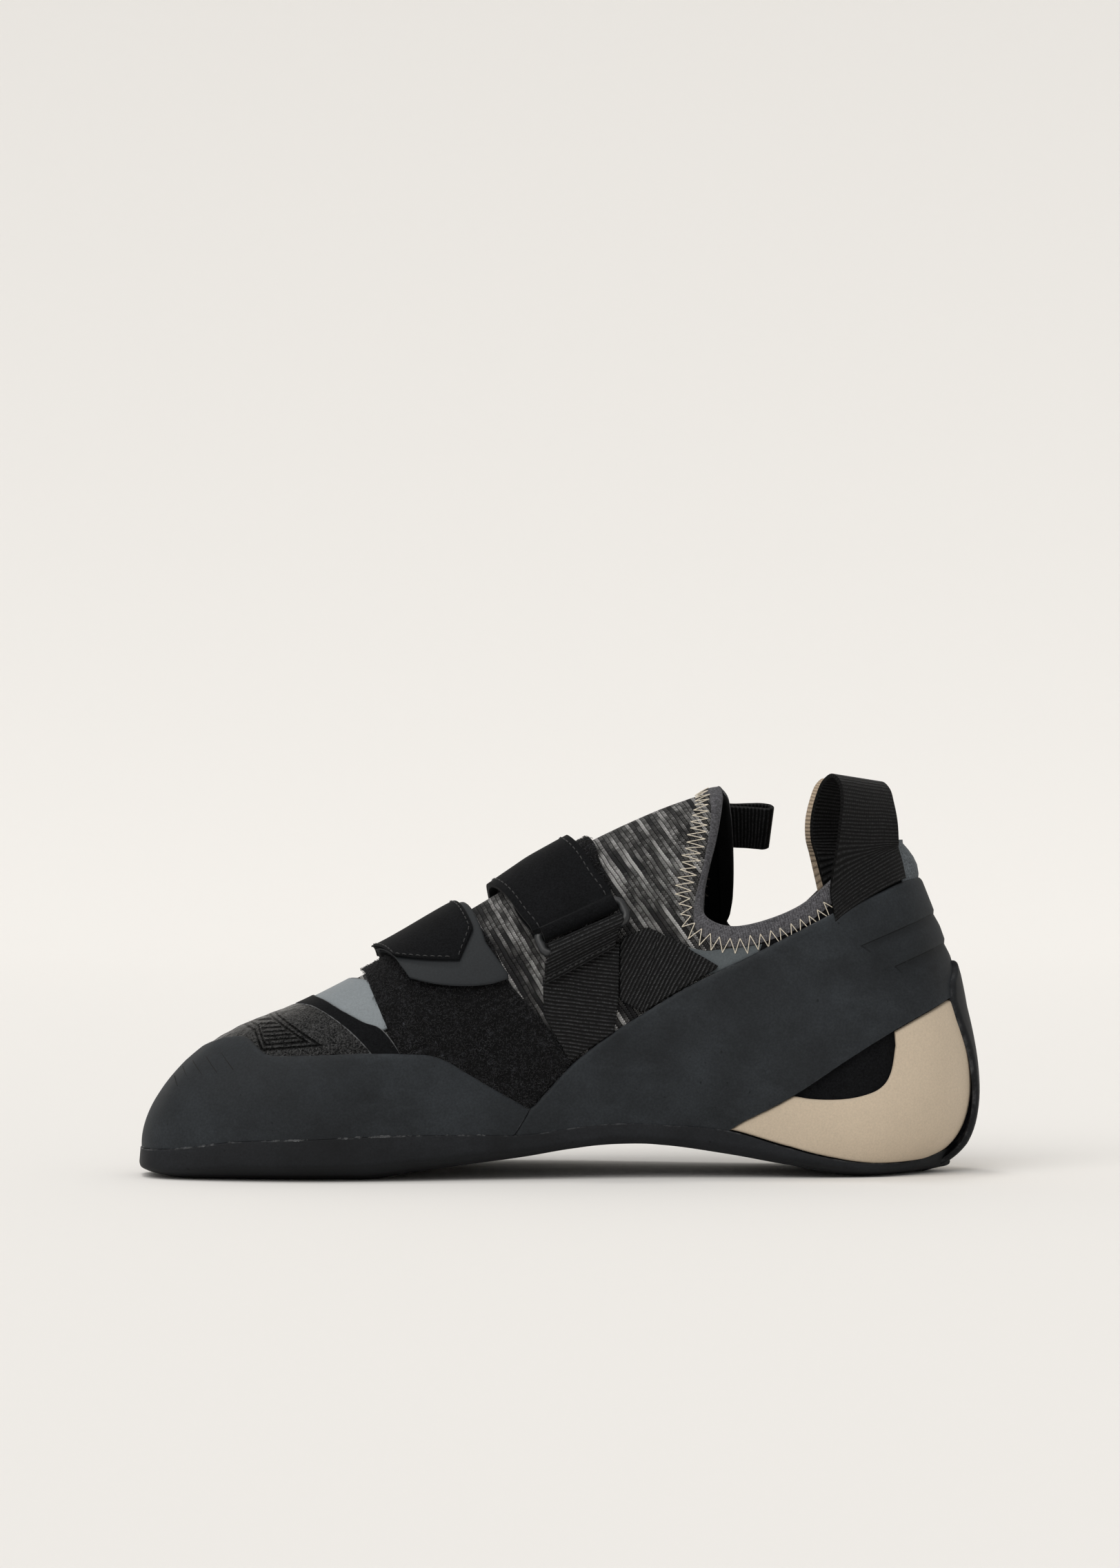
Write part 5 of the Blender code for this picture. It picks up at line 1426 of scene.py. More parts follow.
class SHOE_OT_heel_cups(bpy.types.Operator):
    """Makes the pale heel cups and the black insets in their cut-outs"""

    bl_idname = "shoe.heel_cups"
    bl_label = "Heel cups"

    def execute(self, context):
        moon_u, moon_v = edge(MOON)
        front = places([BAND_LOW[0]])[0][0] + 0.02
        end = LAST - 0.12
        us = stepped((front, moon_u[-1] - 0.3, 90), (moon_u[-1] - 0.3, end, 130))
        top = band_low_line(us) - 0.004
        inside = (us > moon_u[0]) & (us < moon_u[-1])
        high = np.where(inside, np.minimum(np.interp(us, moon_u, moon_v), top), top)
        low = np.interp(us, [front, LAST - 2.2, LAST - 0.8, end], [0.004, 0.012, 0.045, 0.09])
        high = np.maximum(high, low + 0.006)
        hole = np.linspace(moon_u[0] - 0.1, moon_u[-1] + 0.15, 60)
        floor = np.maximum(np.interp(hole, moon_u, moon_v) - 0.06, 0.01)
        roof = band_low_line(hole) + 0.03
        for side, name in ((-1, "medial"), (1, "lateral")):
            cup = lay("cup_" + name, between(us, low, high, 30, side), size("cup"), GAP + 0.1, 0.4, 0.9, "bt")
            settle(cup, "beige", "beige_microfibre", "heel_cup_" + name)
            inset = lay("inset_" + name, between(hole, floor, roof, 16, side), 0.3, 0.15)
            settle(inset, "suede", "black_suede")
        return {"FINISHED"}


# Vamp


def patch_relief(base):
    """Slight crinkles."""
    return 0.10 * np.sin(base[..., 0] * 1.1 + 2 * np.sin(base[..., 1] * 0.6)) * np.sin(base[..., 1] * 0.9)


def over_crown(points, top, parts=5):
    """A line of places from medial points over the crown to the same places of the lateral side."""
    rows = np.vstack([places(points), crown(top)])
    line = np.vstack([rows, np.column_stack([rows[-2::-1, 0], -rows[-2::-1, 1]])])
    return smooth_rows(line, (len(line) - 1) * parts + 1)


class SHOE_OT_vamp(bpy.types.Operator):
    """Makes the grained toe patch, the suede trim and the grey panel"""

    bl_idname = "shoe.vamp"
    bl_label = "Vamp"

    def execute(self, context):
        sections, shares = rand_line()
        line = np.vstack([crown(-81.1), places(curved([(-79.6, 51.9), *TRIM_LOW], 5))])
        us = stepped((0.0, line[0, 0], 70), (line[0, 0], line[-1, 0], 60))
        low = np.interp(us, sections, shares) - 0.015
        order = np.argsort(line[:, 0])
        high = np.where(us <= line[0, 0], 1.0, np.interp(us, line[order, 0], 1 - np.abs(line[order, 1])))
        high = np.maximum(high, low + 0.004)
        field = round_toe(us, low, high, 60)
        patch = lay("toe_patch_grained", field, size("patch"), GAP, 0.5, 0.8, "b", patch_relief)
        settle(patch, "grained", "grained_rubber", "toe_patch")
        lower = over_crown([(-56.6, 36.8), (-62.1, 42.6), (-69.3, 48.0), (-76.0, 51.0)], -81.3)
        upper = over_crown([(-47.4, 36.8), (-54.0, 45.2), (-60.6, 47.6), (-69.0, 51.8)], -75.2)
        trim = lay("vamp_trim_suede", spanned(lower, upper, 14, 130), size("trim"), GAP + 0.35, 0.4, 0.7)
        settle(trim, "trim", "black_suede", "vamp_trim")
        lower = over_crown([(-54.6, 44.6), (-60.6, 47.4), (-69.0, 51.6)], -75.6)
        upper = over_crown([(-48.5, 47.5), (-52.5, 53.5), (-57.0, 58.5)], -64.6)
        panel = lay("vamp_panel_microfibre", spanned(lower, upper, 24, 110), size("panel"), GAP, 0.4, 0.6)
        settle(panel, "panel", "grey_microfibre", "vamp_panel")
        return {"FINISHED"}


# Fastenings


def curls(name, points, out, count, seed, reach=1.0):
    """Small curls of yarn that stand on a surface."""
    chance = np.random.default_rng(seed)
    flat, ways = points.reshape(-1, 3), out.reshape(-1, 3)
    corners = np.cross(np.gradient(points, axis=0), np.gradient(points, axis=1))
    cells = np.linalg.norm(corners, axis=-1).ravel()
    chosen = chance.choice(len(flat), size=count, p=cells / cells.sum())
    step = np.linalg.norm(np.diff(points, axis=1), axis=-1).mean()
    paths = []
    for k in chosen:
        up = ways[k]
        lead = unit(np.cross(up, chance.normal(size=3)))
        side = np.cross(up, lead)
        root = flat[k] + lead * chance.uniform(-step, step) + side * chance.uniform(-step, step)
        wide, tall = chance.uniform(0.22, 0.48) * reach, chance.uniform(0.2, 0.6) * reach
        angles = np.linspace(-0.4, chance.uniform(3.4, 4.8), 6)
        lean = chance.uniform(-0.5, 0.5)
        rise = up * tall + side * lean * wide
        ring = np.cos(angles)[:, None] * lead * wide + np.sin(angles)[:, None] * rise
        paths.append(root + ring + side * np.linspace(-0.15, 0.15, 6)[:, None])
    return threads(name, paths, CURL_THICK, 0)


def surface(field, level):
    """Points and outward ways of a field at one level."""
    u, w = field[..., 0], field[..., 1]
    return raised(u, w, np.broadcast_to(level, u.shape)), normals(u, w)


class SHOE_OT_loop_panel(bpy.types.Operator):
    """Makes the fuzzy panel under the toe strap"""

    bl_idname = "shoe.loop_panel"
    bl_label = "Loop panel"

    def execute(self, context):
        low = drawn([(-48.9, 37.6), (-41.0, 37.4), (-34.5, 35.6), (-27.0, 31.0), (-9.8, 21.4), (3.2, 35.6)])
        left = np.vstack([drawn([(-48.9, 37.6), (-52.8, 46.2), (-58.4, 58.6)]), crown(-60.5)])
        right = np.vstack([drawn([(3.2, 35.6), (-5.4, 47.6), (-16.0, 59.2)]), crown(-33.0)])
        high = np.vstack([crown(x) for x in np.linspace(-60.5, -33.0, 12)])
        field = filled(low, high, left, right, 60, 60)
        panel = lay("loop_panel_base", field, size("pile") - 0.7, GAP, 0.6, 1.2)
        settle(panel, "pile", "loop_pile", "loop_panel")
        points, out = surface(field, GAP + size("pile") - 0.85)
        count = context.scene.shoe_sizes.curls
        for seed, name in ((11, "loop_panel_curls"), (12, "loop_panel_more_curls")):
            settle(curls(name, points, out, count, seed), "curl", "loop_pile")
        return {"FINISHED"}


class SHOE_OT_toe_strap(bpy.types.Operator):
    """Makes the toe strap and the suede tab sewn on it"""

    bl_idname = "shoe.toe_strap"
    bl_label = "Toe strap"

    def execute(self, context):
        level = GAP + 0.2 + size("pile")
        low = drawn([(-45.2, 58.4), (-38.0, 57.4), (-30.0, 57.2), (-22.0, 58.0), (-16.2, 59.8)], smooth=True)
        far = drawn([(-54.4, 58.0), (-55.5, 41.0)], 1)
        left = np.vstack([drawn([(-45.2, 58.4), (-49.0, 63.4)]), crown(-55.0), far])
        far = drawn([(-31.0, 68.0), (-33.0, 42.0)], 1)
        right = np.vstack([drawn([(-16.2, 59.8), (-16.0, 61.2), (-22.5, 70.0)]), crown(-29.0), far])
        high = drawn([(-55.5, 41.0), (-45.0, 41.5), (-33.0, 42.0)], 1)
        field = filled(low, high, left, right, 90, 44)
        heights = [level, level, GAP + 0.8, GAP + 0.2]
        drop = np.interp(np.linspace(0, 1, 90), [0.0, 0.5, 0.78, 1.0], heights)[:, None]
        tilt = np.linspace(0.8, -0.8, 44)
        strap = lay("toe_strap_grey", field, size("strap"), drop + tilt, 0.75, 0.5)
        settle(strap, "strap", "strap_grey", "toe_strap")
        level += size("strap") + GAP + 0.1
        low = drawn([(-49.2, 63.2), (-40.0, 63.4), (-30.4, 64.0)])
        left = np.vstack([places([(-49.2, 63.2)]), crown(-55.4), places([(-54.6, 61.0)], 1)])
        right = np.vstack([drawn([(-30.4, 64.0), (-25.8, 73.4)]), crown(-30.4), places([(-31.0, 71.0)], 1)])
        high = drawn([(-54.6, 61.0), (-43.5, 66.0), (-31.0, 71.0)], 1)
        field = filled(low, high, left, right, 60, 44)
        level = level + np.broadcast_to(tilt, field.shape[:2])
        tab = lay("strap_tab_suede", field, size("tab"), level, 0.6, 0.5)
        settle(tab, "suede", "black_suede", "toe_strap_tab")
        rows = []
        points, out = (grid[4:-4, 5:-5] for grid in surface(field, level + size("tab")))
        for line, ways in ((points[0], out[0]), (points[:, 0], out[:, 0]), (points[:, -1], out[:, -1])):
            rows += stitches(line, ways, size("stitch"))
        settle(threads("strap_tab_stitches", rows, STITCH_THICK), "black_thread", "black_suede")
        return {"FINISHED"}


def ring_frame():
    """Centre of the ring, its long and short directions and the way out from the shoe."""
    place = places([RING_PLACE])[0]
    out = normals(place[:1], place[1:])[0]
    centre = last(place[:1], place[1:])[0] + out * RING_LIFT
    tilt = math.radians(RING_TILT)
    long_way = np.array([math.cos(tilt), 0.0, math.sin(tilt)])
    long_way = unit(long_way - out * np.dot(long_way, out))
    short_way = np.cross(out, long_way)
    return centre, long_way, short_way * np.sign(short_way[2]), out


def strip_rows(rows, offsets, steps, wide):
    """Rows of points along a strip on the last, at heights that are one number or three across."""
    lines = np.array(rows)
    spots = np.linspace(0, 2, wide)
    first = np.minimum(spots.astype(int), 1)
    part = (spots - first)[None, :, None]
    lines = lines[:, first] * (1 - part) + lines[:, first + 1] * part
    count = steps * (len(rows) - 1) + 1
    field = smooth_rows(lines, count)
    heights = np.array([np.broadcast_to(height, 3) for height in offsets], float)
    at = np.linspace(0, len(rows) - 1, count)
    level = np.column_stack([np.interp(at, np.arange(len(rows)), column) for column in heights.T])
    level = level[:, first] * (1 - part[..., 0]) + level[:, first + 1] * part[..., 0]
    return raised(field[..., 0], field[..., 1], level)


def folded(first, bar, radius, second, wide):
    """Rows of a ribbon that comes along, turns round a bar of the ring and goes back over itself."""
    centre, long_way, short_way, out = ring_frame()
    middle = centre + short_way * bar * RING_SHORT / 2
    half = RING_LONG / 2 - 1.6
    turn = []
    for angle in np.radians(np.linspace(-90, 90, 9)):
        spot = middle - short_way * bar * radius * math.cos(angle) + out * radius * math.sin(angle)
        turn.append([spot + long_way * s for s in np.linspace(-half, half, wide)])
    return np.concatenate([first, np.array(turn), second], axis=0)


def trio(*points, side=-1):
    """Three places of one side."""
    return places(points, side)


def crown_trio(*xs):
    """Three places on the crown line."""
    return np.vstack([crown(x) for x in xs])


class SHOE_OT_ankle_strap(bpy.types.Operator):
    """Makes the ring and the folded strap that runs through it"""

    bl_idname = "shoe.ankle_strap"
    bl_label = "Ankle strap"

    def execute(self, context):
        thick = size("strap")
        low = GAP + 0.3 + thick / 2
        high = low + thick + 0.9
        ring_low = trio((-8.0, 72.4), (4.0, 78.0), (15.6, 83.8))
        middle = trio((-13.8, 80.4), (-1.8, 87.0), (9.8, 93.0))
        top = crown_trio(-20.6, -8.0, 4.0)
        lateral = trio((-20.0, 72.0), (-8.0, 80.0), (5.0, 88.0), side=1)
        anchor = trio((-16.0, 45.0), (-2.0, 48.0), (12.0, 52.0), side=1)
        under = crown_trio(-17.4, -7.0, 4.0)
        first = strip_rows([anchor, lateral, under, middle, ring_low], [low, low, low, low, low + 0.4], 5, 7)
        crest = (high - 0.5, high + 0.5, high + 0.5)
        second = strip_rows([ring_low, middle, top, lateral], [high + 2.0, high + 0.7, crest, high], 5, 7)
        rows = folded(first, 1, RING_BAR + GAP + thick / 2, second, 7)
        strap = ribbon("ankle_strap_suede", rows, thick, 260, 30, 0.45)
        settle(strap, "suede", "black_suede", "ankle_strap")
        self.sew(second, thick)
        self.fuzz()
        self.ring()
        return {"FINISHED"}

    def sew(self, second, thick):
        """Stitches along both edges of the outer layer."""
        wide = smooth_rows(np.swapaxes(second, 0, 1), 40)
        rows = []
        for k in (3, -4):
            line = smooth_rows(wide[k], 80)
            way = unit(np.cross(np.gradient(line, axis=0), smooth_rows(wide[-1] - wide[0], 80)))
            way *= np.sign(way[:, 2:3])
            rows += stitches(line + way * thick / 2, way, size("stitch") * 1.1)
        settle(threads("ankle_strap_stitches", rows, STRAP_STITCH_THICK), "black_thread", "black_suede")

    def fuzz(self):
        """The fuzzy layer under the strap, which shows past its rear edge."""
        low = drawn([(4.0, 80.0), (15.6, 87.4)])
        far = drawn([(-8.0, 80.0), (-4.0, 66.0)], 1)
        left = np.vstack([drawn([(4.0, 80.0), (-2.6, 88.6)]), crown(-8.0), far])
        far = drawn([(9.4, 90.0), (13.0, 72.0)], 1)
        right = np.vstack([drawn([(15.6, 87.4), (11.8, 96.0)]), crown(8.4), far])
        high = drawn([(-4.0, 66.0), (13.0, 72.0)], 1)
        field = filled(low, high, left, right, 70, 24)
        layer = lay("ankle_strap_pile", field, 1.7, GAP, 0.6, 0.7)
        settle(layer, "pile", "loop_pile")
        points, out = surface(field[:, 14:], GAP + 1.5)
        settle(curls("ankle_strap_fuzz", points, out, 900, 5, 1.2), "curl", "loop_pile")

    def ring(self):
        """A rounded rectangle of round bar."""
        centre, long_way, short_way, _ = ring_frame()
        spots = []
        for sx, sy, turn in ((1, 1, 0), (-1, 1, 90), (-1, -1, 180), (1, -1, 270)):
            for step in np.linspace(0, 90, 9):
                angle = math.radians(turn + step)
                a = sx * (RING_LONG / 2 - RING_CORNER) + RING_CORNER * math.cos(angle)
                b = sy * (RING_SHORT / 2 - RING_CORNER) + RING_CORNER * math.sin(angle)
                spots.append(centre + long_way * a + short_way * b)
        spots.append(spots[0])
        ring = threads("strap_ring_bar", [np.array(spots)], RING_BAR * 2, 4)
        settle(ring, "ring", "ring_plastic", "strap_ring")


def ribbed_at(angle):
    """The pattern of webbing whose ribs rise at this angle in the side view."""
    turn = math.radians(angle)

    def pattern(base):
        across = base[..., 0] * math.cos(turn) + base[..., 2] * math.sin(turn)
        along = -base[..., 0] * math.sin(turn) + base[..., 2] * math.cos(turn)
        return np.stack([across, along], axis=-1)

    return pattern


class SHOE_OT_webbing(bpy.types.Operator):
    """Makes the webbing that holds the ring"""

    bl_idname = "shoe.webbing"
    bl_label = "Webbing"

    def execute(self, context):
        thick = size("webbing")
        low = drawn([(24.6, 50.3), (36.0, 57.0), (46.8, 63.4)])
        high = drawn([(17.8, 72.2), (26.2, 76.0), (39.0, 69.6), (47.6, 64.4)])
        left = drawn([(24.6, 50.3), (17.6, 54.0), (17.8, 72.2)])
        right = drawn([(46.8, 63.4), (47.6, 64.4)])
        field = filled(low, high, left, right, 44, 44)
        rear = lay("webbing_rear_leg", field, thick, GAP, 0.6, 0.6, pattern=ribbed_at(REAR_RIBS))
        settle(rear, "web", "black_webbing", "webbing_rear")
        low = drawn([(2.4, 35.9), (15.8, 44.4)])
        high = drawn([(-5.7, 60.4), (17.6, 71.4)])
        left = drawn([(2.4, 35.9), (-5.4, 49.2), (-5.7, 60.4)])
        right = drawn([(15.8, 44.4), (17.2, 54.0), (17.6, 71.4)])
        field = filled(low, high, left, right, 48, 40)
        front = lay("webbing_front_leg", field, thick, GAP + 0.35, 0.7, 0.5, pattern=ribbed_at(FRONT_RIBS))
        settle(front, "web", "black_webbing", "webbing_front")
        inner = GAP + 1.3 + thick / 2
        outer = GAP + thick + GAP + 0.5 + thick / 2
        near = trio((-5.0, 63.4), (6.6, 69.0), (17.0, 74.1))
        lower = trio((-5.0, 62.2), (6.4, 67.8), (16.8, 72.9))
        end = trio((-5.2, 58.6), (6.0, 64.4), (15.8, 69.6))
        first = strip_rows([lower, near], [inner, inner], 3, 7)[:-1]
        second = strip_rows([near, lower, end], [outer + 3.0, outer + 2.2, outer], 4, 7)
        rows = folded(first, -1, RING_BAR + GAP + 0.2 + thick / 2, second, 7)
        sleeve = ribbon("webbing_sleeve_fold", rows, thick, 80, 28, 0.35)
        settle(sleeve, "web", "black_webbing", "webbing_sleeve")
        line = second[-2]
        way = normals(*end.T)[1]
        points = smooth_rows(line, 40) + way * (thick / 2)
        paths = stitches(points, np.repeat(way[None], 40, 0), 1.9)
        settle(threads("sleeve_stitches", paths, STITCH_THICK), "black_thread", "black_webbing")
        return {"FINISHED"}


# Collar


def below_edge(u, side, deep):
    """The place on the wall that lies this deep below the edge of the collar, along the section."""
    shares = np.linspace(0.0, 0.4, 160)
    reach = last(u, side * np.maximum(shares, 1e-6))
    fall = np.linalg.norm(reach - reach[0], axis=1)
    return np.array([float(u), side * max(float(np.interp(deep, fall, shares)), 1e-5)])


def crown_below(deep):
    """The place on the crown line that lies this deep below the peak."""
    us = np.linspace(PEAK - 0.9, PEAK, 90)
    points = last(us, 0.0)
    return np.array([float(np.interp(-deep, -np.linalg.norm(points - points[-1], axis=1), us)), 0.0])


def collar_run(first, stop, count):
    """Sections and sides along the collar's edge, from the medial end over the peak to the lateral end."""
    us = [u for u in np.linspace(first, stop, count) if u > PEAK + 0.04]
    return [(u, -1) for u in us] + [(PEAK, 0)] + [(u, 1) for u in us[::-1]]


def edge_place(u, side, deep):
    """A place below the collar's edge, on either side or on the crown."""
    return crown_below(deep) if side == 0 else below_edge(u, side, deep)


def rolled(sections, deep, thickness, bulges):
    """Rows of a roll over the edge of the collar, from the outer foot over the edge to the inner foot."""
    parts = np.array([1.0, 0.97, 0.85, 0.65, 0.45, 0.25, 0.08])
    columns = []
    for (u, side), bulge in zip(sections, bulges):
        spots = np.array([edge_place(u, side, deep * part) for part in parts])
        levels = 0.25 + bulge * np.sin(np.pi * (1 - parts) ** 0.8) + thickness
        ways = normals(np.minimum(spots[:, 0], PEAK - 0.03) if side == 0 else spots[:, 0], spots[:, 1])
        points = last(*spots.T)
        rim = last(PEAK, 0.0)[0] if side == 0 else last(u, side * 1e-6)[0]
        out = ways[-1]
        if side == 0:
            run = np.array([0.0, 1.0, 0.0])
        else:
            before, after = last([max(u - 0.1, PEAK), min(u + 0.1, LAST)], side * 1e-5)
            run = after - before
        up = unit(np.cross(run, out))
        up *= np.sign(np.dot(up, rim - points[0]))
        column = list(points + ways * levels[:, None])
        middle = -size("wall") / 2
        half = size("wall") / 2 + 0.35 + bulge * 0.5 + thickness
        for angle in np.radians((25, 55, 90, 125, 155)):
            rise = up * (1.05 * math.sin(angle) - 0.45)
            column.append(rim + rise + out * (middle + half * math.cos(angle)))
        column += list((points - ways * (size("wall") + 0.5 + thickness))[::-1])
        columns.append(column)
    return np.array(columns)


class SHOE_OT_collar(bpy.types.Operator):
    """Makes the collar's binding with its zigzag seam, the patches below it and the heel tab"""

    bl_idname = "shoe.collar"
    bl_label = "Collar"

    def execute(self, context):
        sections = collar_run(BINDING_END, PEAK, 90)
        even = np.full(len(sections), 0.55)
        binding = self.roll("collar_binding_knit", sections, size("binding_deep"), even, "binding")
        settle(binding, None, "knit", "collar_binding")
        us = np.linspace(HEEL_TAB_START, LAST, 18)
        heel = [(u, -1) for u in us] + [(u, 1) for u in us[-2::-1]]
        swell = np.interp([u for u, _ in heel], [HEEL_TAB_START, HEEL_TAB_START + 0.5], [0.35, 1.8])
        tab = self.roll("heel_tab_suede", heel, HEEL_TAB_DEEP, swell, "heel")
        settle(tab, None, "heel_suede", "heel_tab")
        self.patches()
        outer = self.zigzag(OUTER_TIPS)
        settle(threads("collar_zigzag", outer, size("thread")), "thread", "knit")
        # The inside seam is the cream thread darkened as painted shade inside the collar.
        inner = self.zigzag([(deep, level - size("wall")) for deep, level in INNER_TIPS])
        settle(threads("collar_zigzag_inside", inner, size("thread")), "dull_thread", "knit")
        return {"FINISHED"}

    def roll(self, name, sections, deep, bulges, look):
        """A roll over the edge of the collar, with the lining on its inner side."""
        columns = rolled(sections, deep, ROLL_THICK, bulges)
        points = np.swapaxes(columns, 0, 1)
        across, run = runs(points, 1), runs(points, 0)
        item = grid_piece(name, points, np.stack([across, run], axis=-1), rim=np.minimum(run, run[-1:] - run))
        inner = np.repeat(np.arange(points.shape[0] - 1) >= 9, points.shape[1] - 1)
        item.data.materials.append(finish(look))
        item.data.materials.append(finish("lining"))
        item.data.polygons.foreach_set("material_index", inner.astype(np.int32))
        middle = points.shape[1] // 4
        facing = np.cross(points[1, middle + 1] - points[1, middle], points[2, middle] - points[1, middle])
        place = edge_place(*sections[middle], deep)
        if np.dot(facing, normals(place[:1], place[1:])[0]) < 0:
            edit(item, bpy.ops.mesh.flip_normals)
        thicken(item, 0.35)
        return smooth(item, 60.0)

    def patches(self):
        """Microfibre and suede that back the lower edge of the collar."""
        for side, name in ((-1, "medial"), (1, "lateral")):
            low = drawn([(37.0, 60.0), (47.0, 62.5), (60.0, 68.4)], side)
            high = drawn([(34.5, 71.0), (44.0, 69.0), (61.0, 71.2)], side)
            patch = lay("collar_patch_" + name, spanned(low, high, 12, 30), 0.35, 0.12, 0.5, 0.4)
            settle(patch, "backing", "grey_microfibre")
            us = np.linspace(13.3, 16.6, 40)
            rim = np.array([below_edge(u, side, 2.5) for u in us])
            foot = np.array([below_edge(u, side, BACKING_DEEP) for u in us])
            backing = lay("collar_backing_" + name, spanned(foot, rim, 10, 50), 0.2, 0.1, 0.5, 0.4)
            settle(backing, "suede", "black_suede")

    def zigzag(self, tips):
        """Paths of a zigzag seam between two lines below the collar's edge, each a depth and a height."""
        axes = np.linspace(PEAK - 1.2, LAST, 300), np.linspace(-0.45, 0.45, 181)
        grid = np.stack(np.meshgrid(*axes), axis=-1).reshape(-1, 2)
        grid = grid[(grid[:, 0] < PEAK) | (np.abs(grid[:, 1]) > 1e-3)]
        known, out = last(*grid.T), normals(*grid.T)
        stations = collar_run(BINDING_END - 0.1, PEAK, 240)
        sections = [u for u, _ in stations]
        rim = np.array([last(u, side * 1e-5)[0] for u, side in stations])
        ways = unit(np.gradient(rim, axis=0))
        lines = []
        for deep, level in tips:
            line = []
            for spot, way, (_, side) in zip(rim, ways, stations):
                away = np.linalg.norm(known - spot, axis=1)
                lean = np.abs((known - spot) @ way)
                across = known[:, 1] * side < -1.0
                k = int(np.argmin(np.abs(away - deep) + 2.0 * lean + 9.0 * across))
                line.append(known[k] + out[k] * level)
            line = np.array(line)
            for _ in range(6):
                line[1:-1] = (line[:-2] + 2 * line[1:-1] + line[2:]) / 4
            lines.append(line)
        lines = np.array(lines)
        run = runs(lines.mean(0), 0)
        pitch = size("zigzag_pitch") * np.interp(sections, [PEAK, 10.5, 12.0, 16.0], [0.7, 0.74, 1.05, 0.95])
        phase = np.concatenate([[0.0], np.cumsum(np.diff(run) * 2 / pitch[1:])])
        chance = np.random.default_rng(3)
        spots = np.interp(np.arange(int(phase[-1])), phase, run)
        spots[1:-1] += chance.uniform(-0.22, 0.22, len(spots) - 2)
        points = []
        for k, at in enumerate(spots):
            stray = chance.uniform(-0.08, 0.08)
            line = lines[k % 2] * (1 - stray) + lines[1 - k % 2] * stray
            points.append([np.interp(at, run, line[:, axis]) for axis in range(3)])
        points = np.array(points)
        outside = 1.0 if tips[0][1] > 0 else -1.0
        paths = []
        for start, stop in zip(points, points[1:]):
            share = np.linspace(0.0, 1.0, 5)[:, None]
            middle = (start + stop) / 2
            way = np.array([0.0, np.sign(middle[1]) if abs(middle[1]) > 6 else 0.0, 0.6])
            bow = outside * unit(way) * np.sin(share * np.pi) * 0.12
            paths.append(start + (stop - start) * share + bow)
        return paths


# Pull loops


class SHOE_OT_pull_loops(bpy.types.Operator):
    """Makes both pull loops of the heel and the small loop of the collar"""

    bl_idname = "shoe.pull_loops"
    bl_label = "Pull loops"

    def execute(self, context):
        self.heel_loop("pull_loop_medial", -1, "loop_web", "black_webbing", "heel_loop_medial")
        self.heel_loop("pull_loop_lateral", 1, "beige_web", "beige_webbing", "heel_loop_lateral")
        self.collar_loop()
        return {"FINISHED"}

    def heel_loop(self, name, side, look, slot, node):
        """A ribbon from its outer foot up over its path and down inside the collar."""
        turn = math.radians(LOOP_TURN)
        edge_us = np.linspace(LAST - 3.0, LAST, 200)
        edge_points = last(edge_us, side * 1e-5)
        rim = last(LOOP_SECTION + (0.02 if side > 0 else 0.0), side * 1e-5)[0]
        wide_way = np.array([math.cos(turn), -side * math.sin(turn), 0.0])
        out_way = np.array([math.sin(turn), side * math.cos(turn), 0.0])
        spots = np.linspace(-0.5, 0.5, 7) * LOOP_WIDTH
        us = np.interp(spots, (edge_points - rim) @ wide_way, edge_us)
        level = GAP + 1.6 + size("ribbon") / 2
        foot, deep, shallow = (
            np.array([below_edge(u, side, depth) for u in us]).T
            for depth in (LOOP_FOOT, LOOP_LEG + 2.4, LOOP_LEG * 0.45)
        )
        outer = ((foot, level - 0.9), (deep, level - 0.3), (shallow, level))
        rows = [raised(*spread, np.full(7, height)) for spread, height in outer]
        for spot in LOOP_PATH:
            rise = np.clip((spot.z - 104.0) / 12.0, 0.0, 1.0)
            height = spot.z - (1.4 * rise if side > 0 else 0.0)
            centre = np.array([rim[0], rim[1], height]) + out_way * spot.out
            slope = np.array([0.0, 0.0, LOOP_TILT]) + out_way * LOOP_LEAN
            rows.append(centre + np.outer(spots, wide_way - slope * rise))
        inner = -size("wall") - level - 0.4
        rows += [raised(*spread, np.full(7, inner)) for spread in (shallow, deep)]
        loop = ribbon(name, np.array(rows), size("ribbon"), 130, 26, 0.35)
        settle(loop, look, slot, node)

    def collar_loop(self):
        """A small flat loop of ribbon that stands out behind the collar's edge."""
        u = np.array([TAB_SECTION])
        rim = last(u, 1e-5)[0]
        out = normals(u, np.array([0.01]))[0]
        run = unit(last(u + 0.05, 1e-5)[0] - last(u - 0.05, 1e-5)[0])
        back = np.cross(run, out)
        back *= np.sign(back[0])
        level = GAP + 0.9 + GAP + size("ribbon") / 2
        path = [(-4.6, level), (0.5, level), (5.0, level + 0.2), (9.0, level + 0.1), (11.8, level + 0.2)]
        path += [(12.8, level + 1.2), (12.0, level + 2.6), (9.0, level + 3.4), (5.0, level + 2.8)]
        path += [(0.5, level + size("ribbon") + 0.6), (-4.6, level + size("ribbon") + 0.3)]
        rows = []
        for a, b in path:
            row = []
            for s in np.linspace(-0.5, 0.5, 4):
                row.append(rim + back * a * (0.9 - 0.2 * s * (a > 4)) + out * b + run * s * TAB_WIDE)
            rows.append(row)
        loop = ribbon("collar_pull_loop", np.array(rows), size("ribbon"), 90, 20, 0.3)
        settle(loop, "loop_web", "black_webbing", "collar_tab")


# Stage


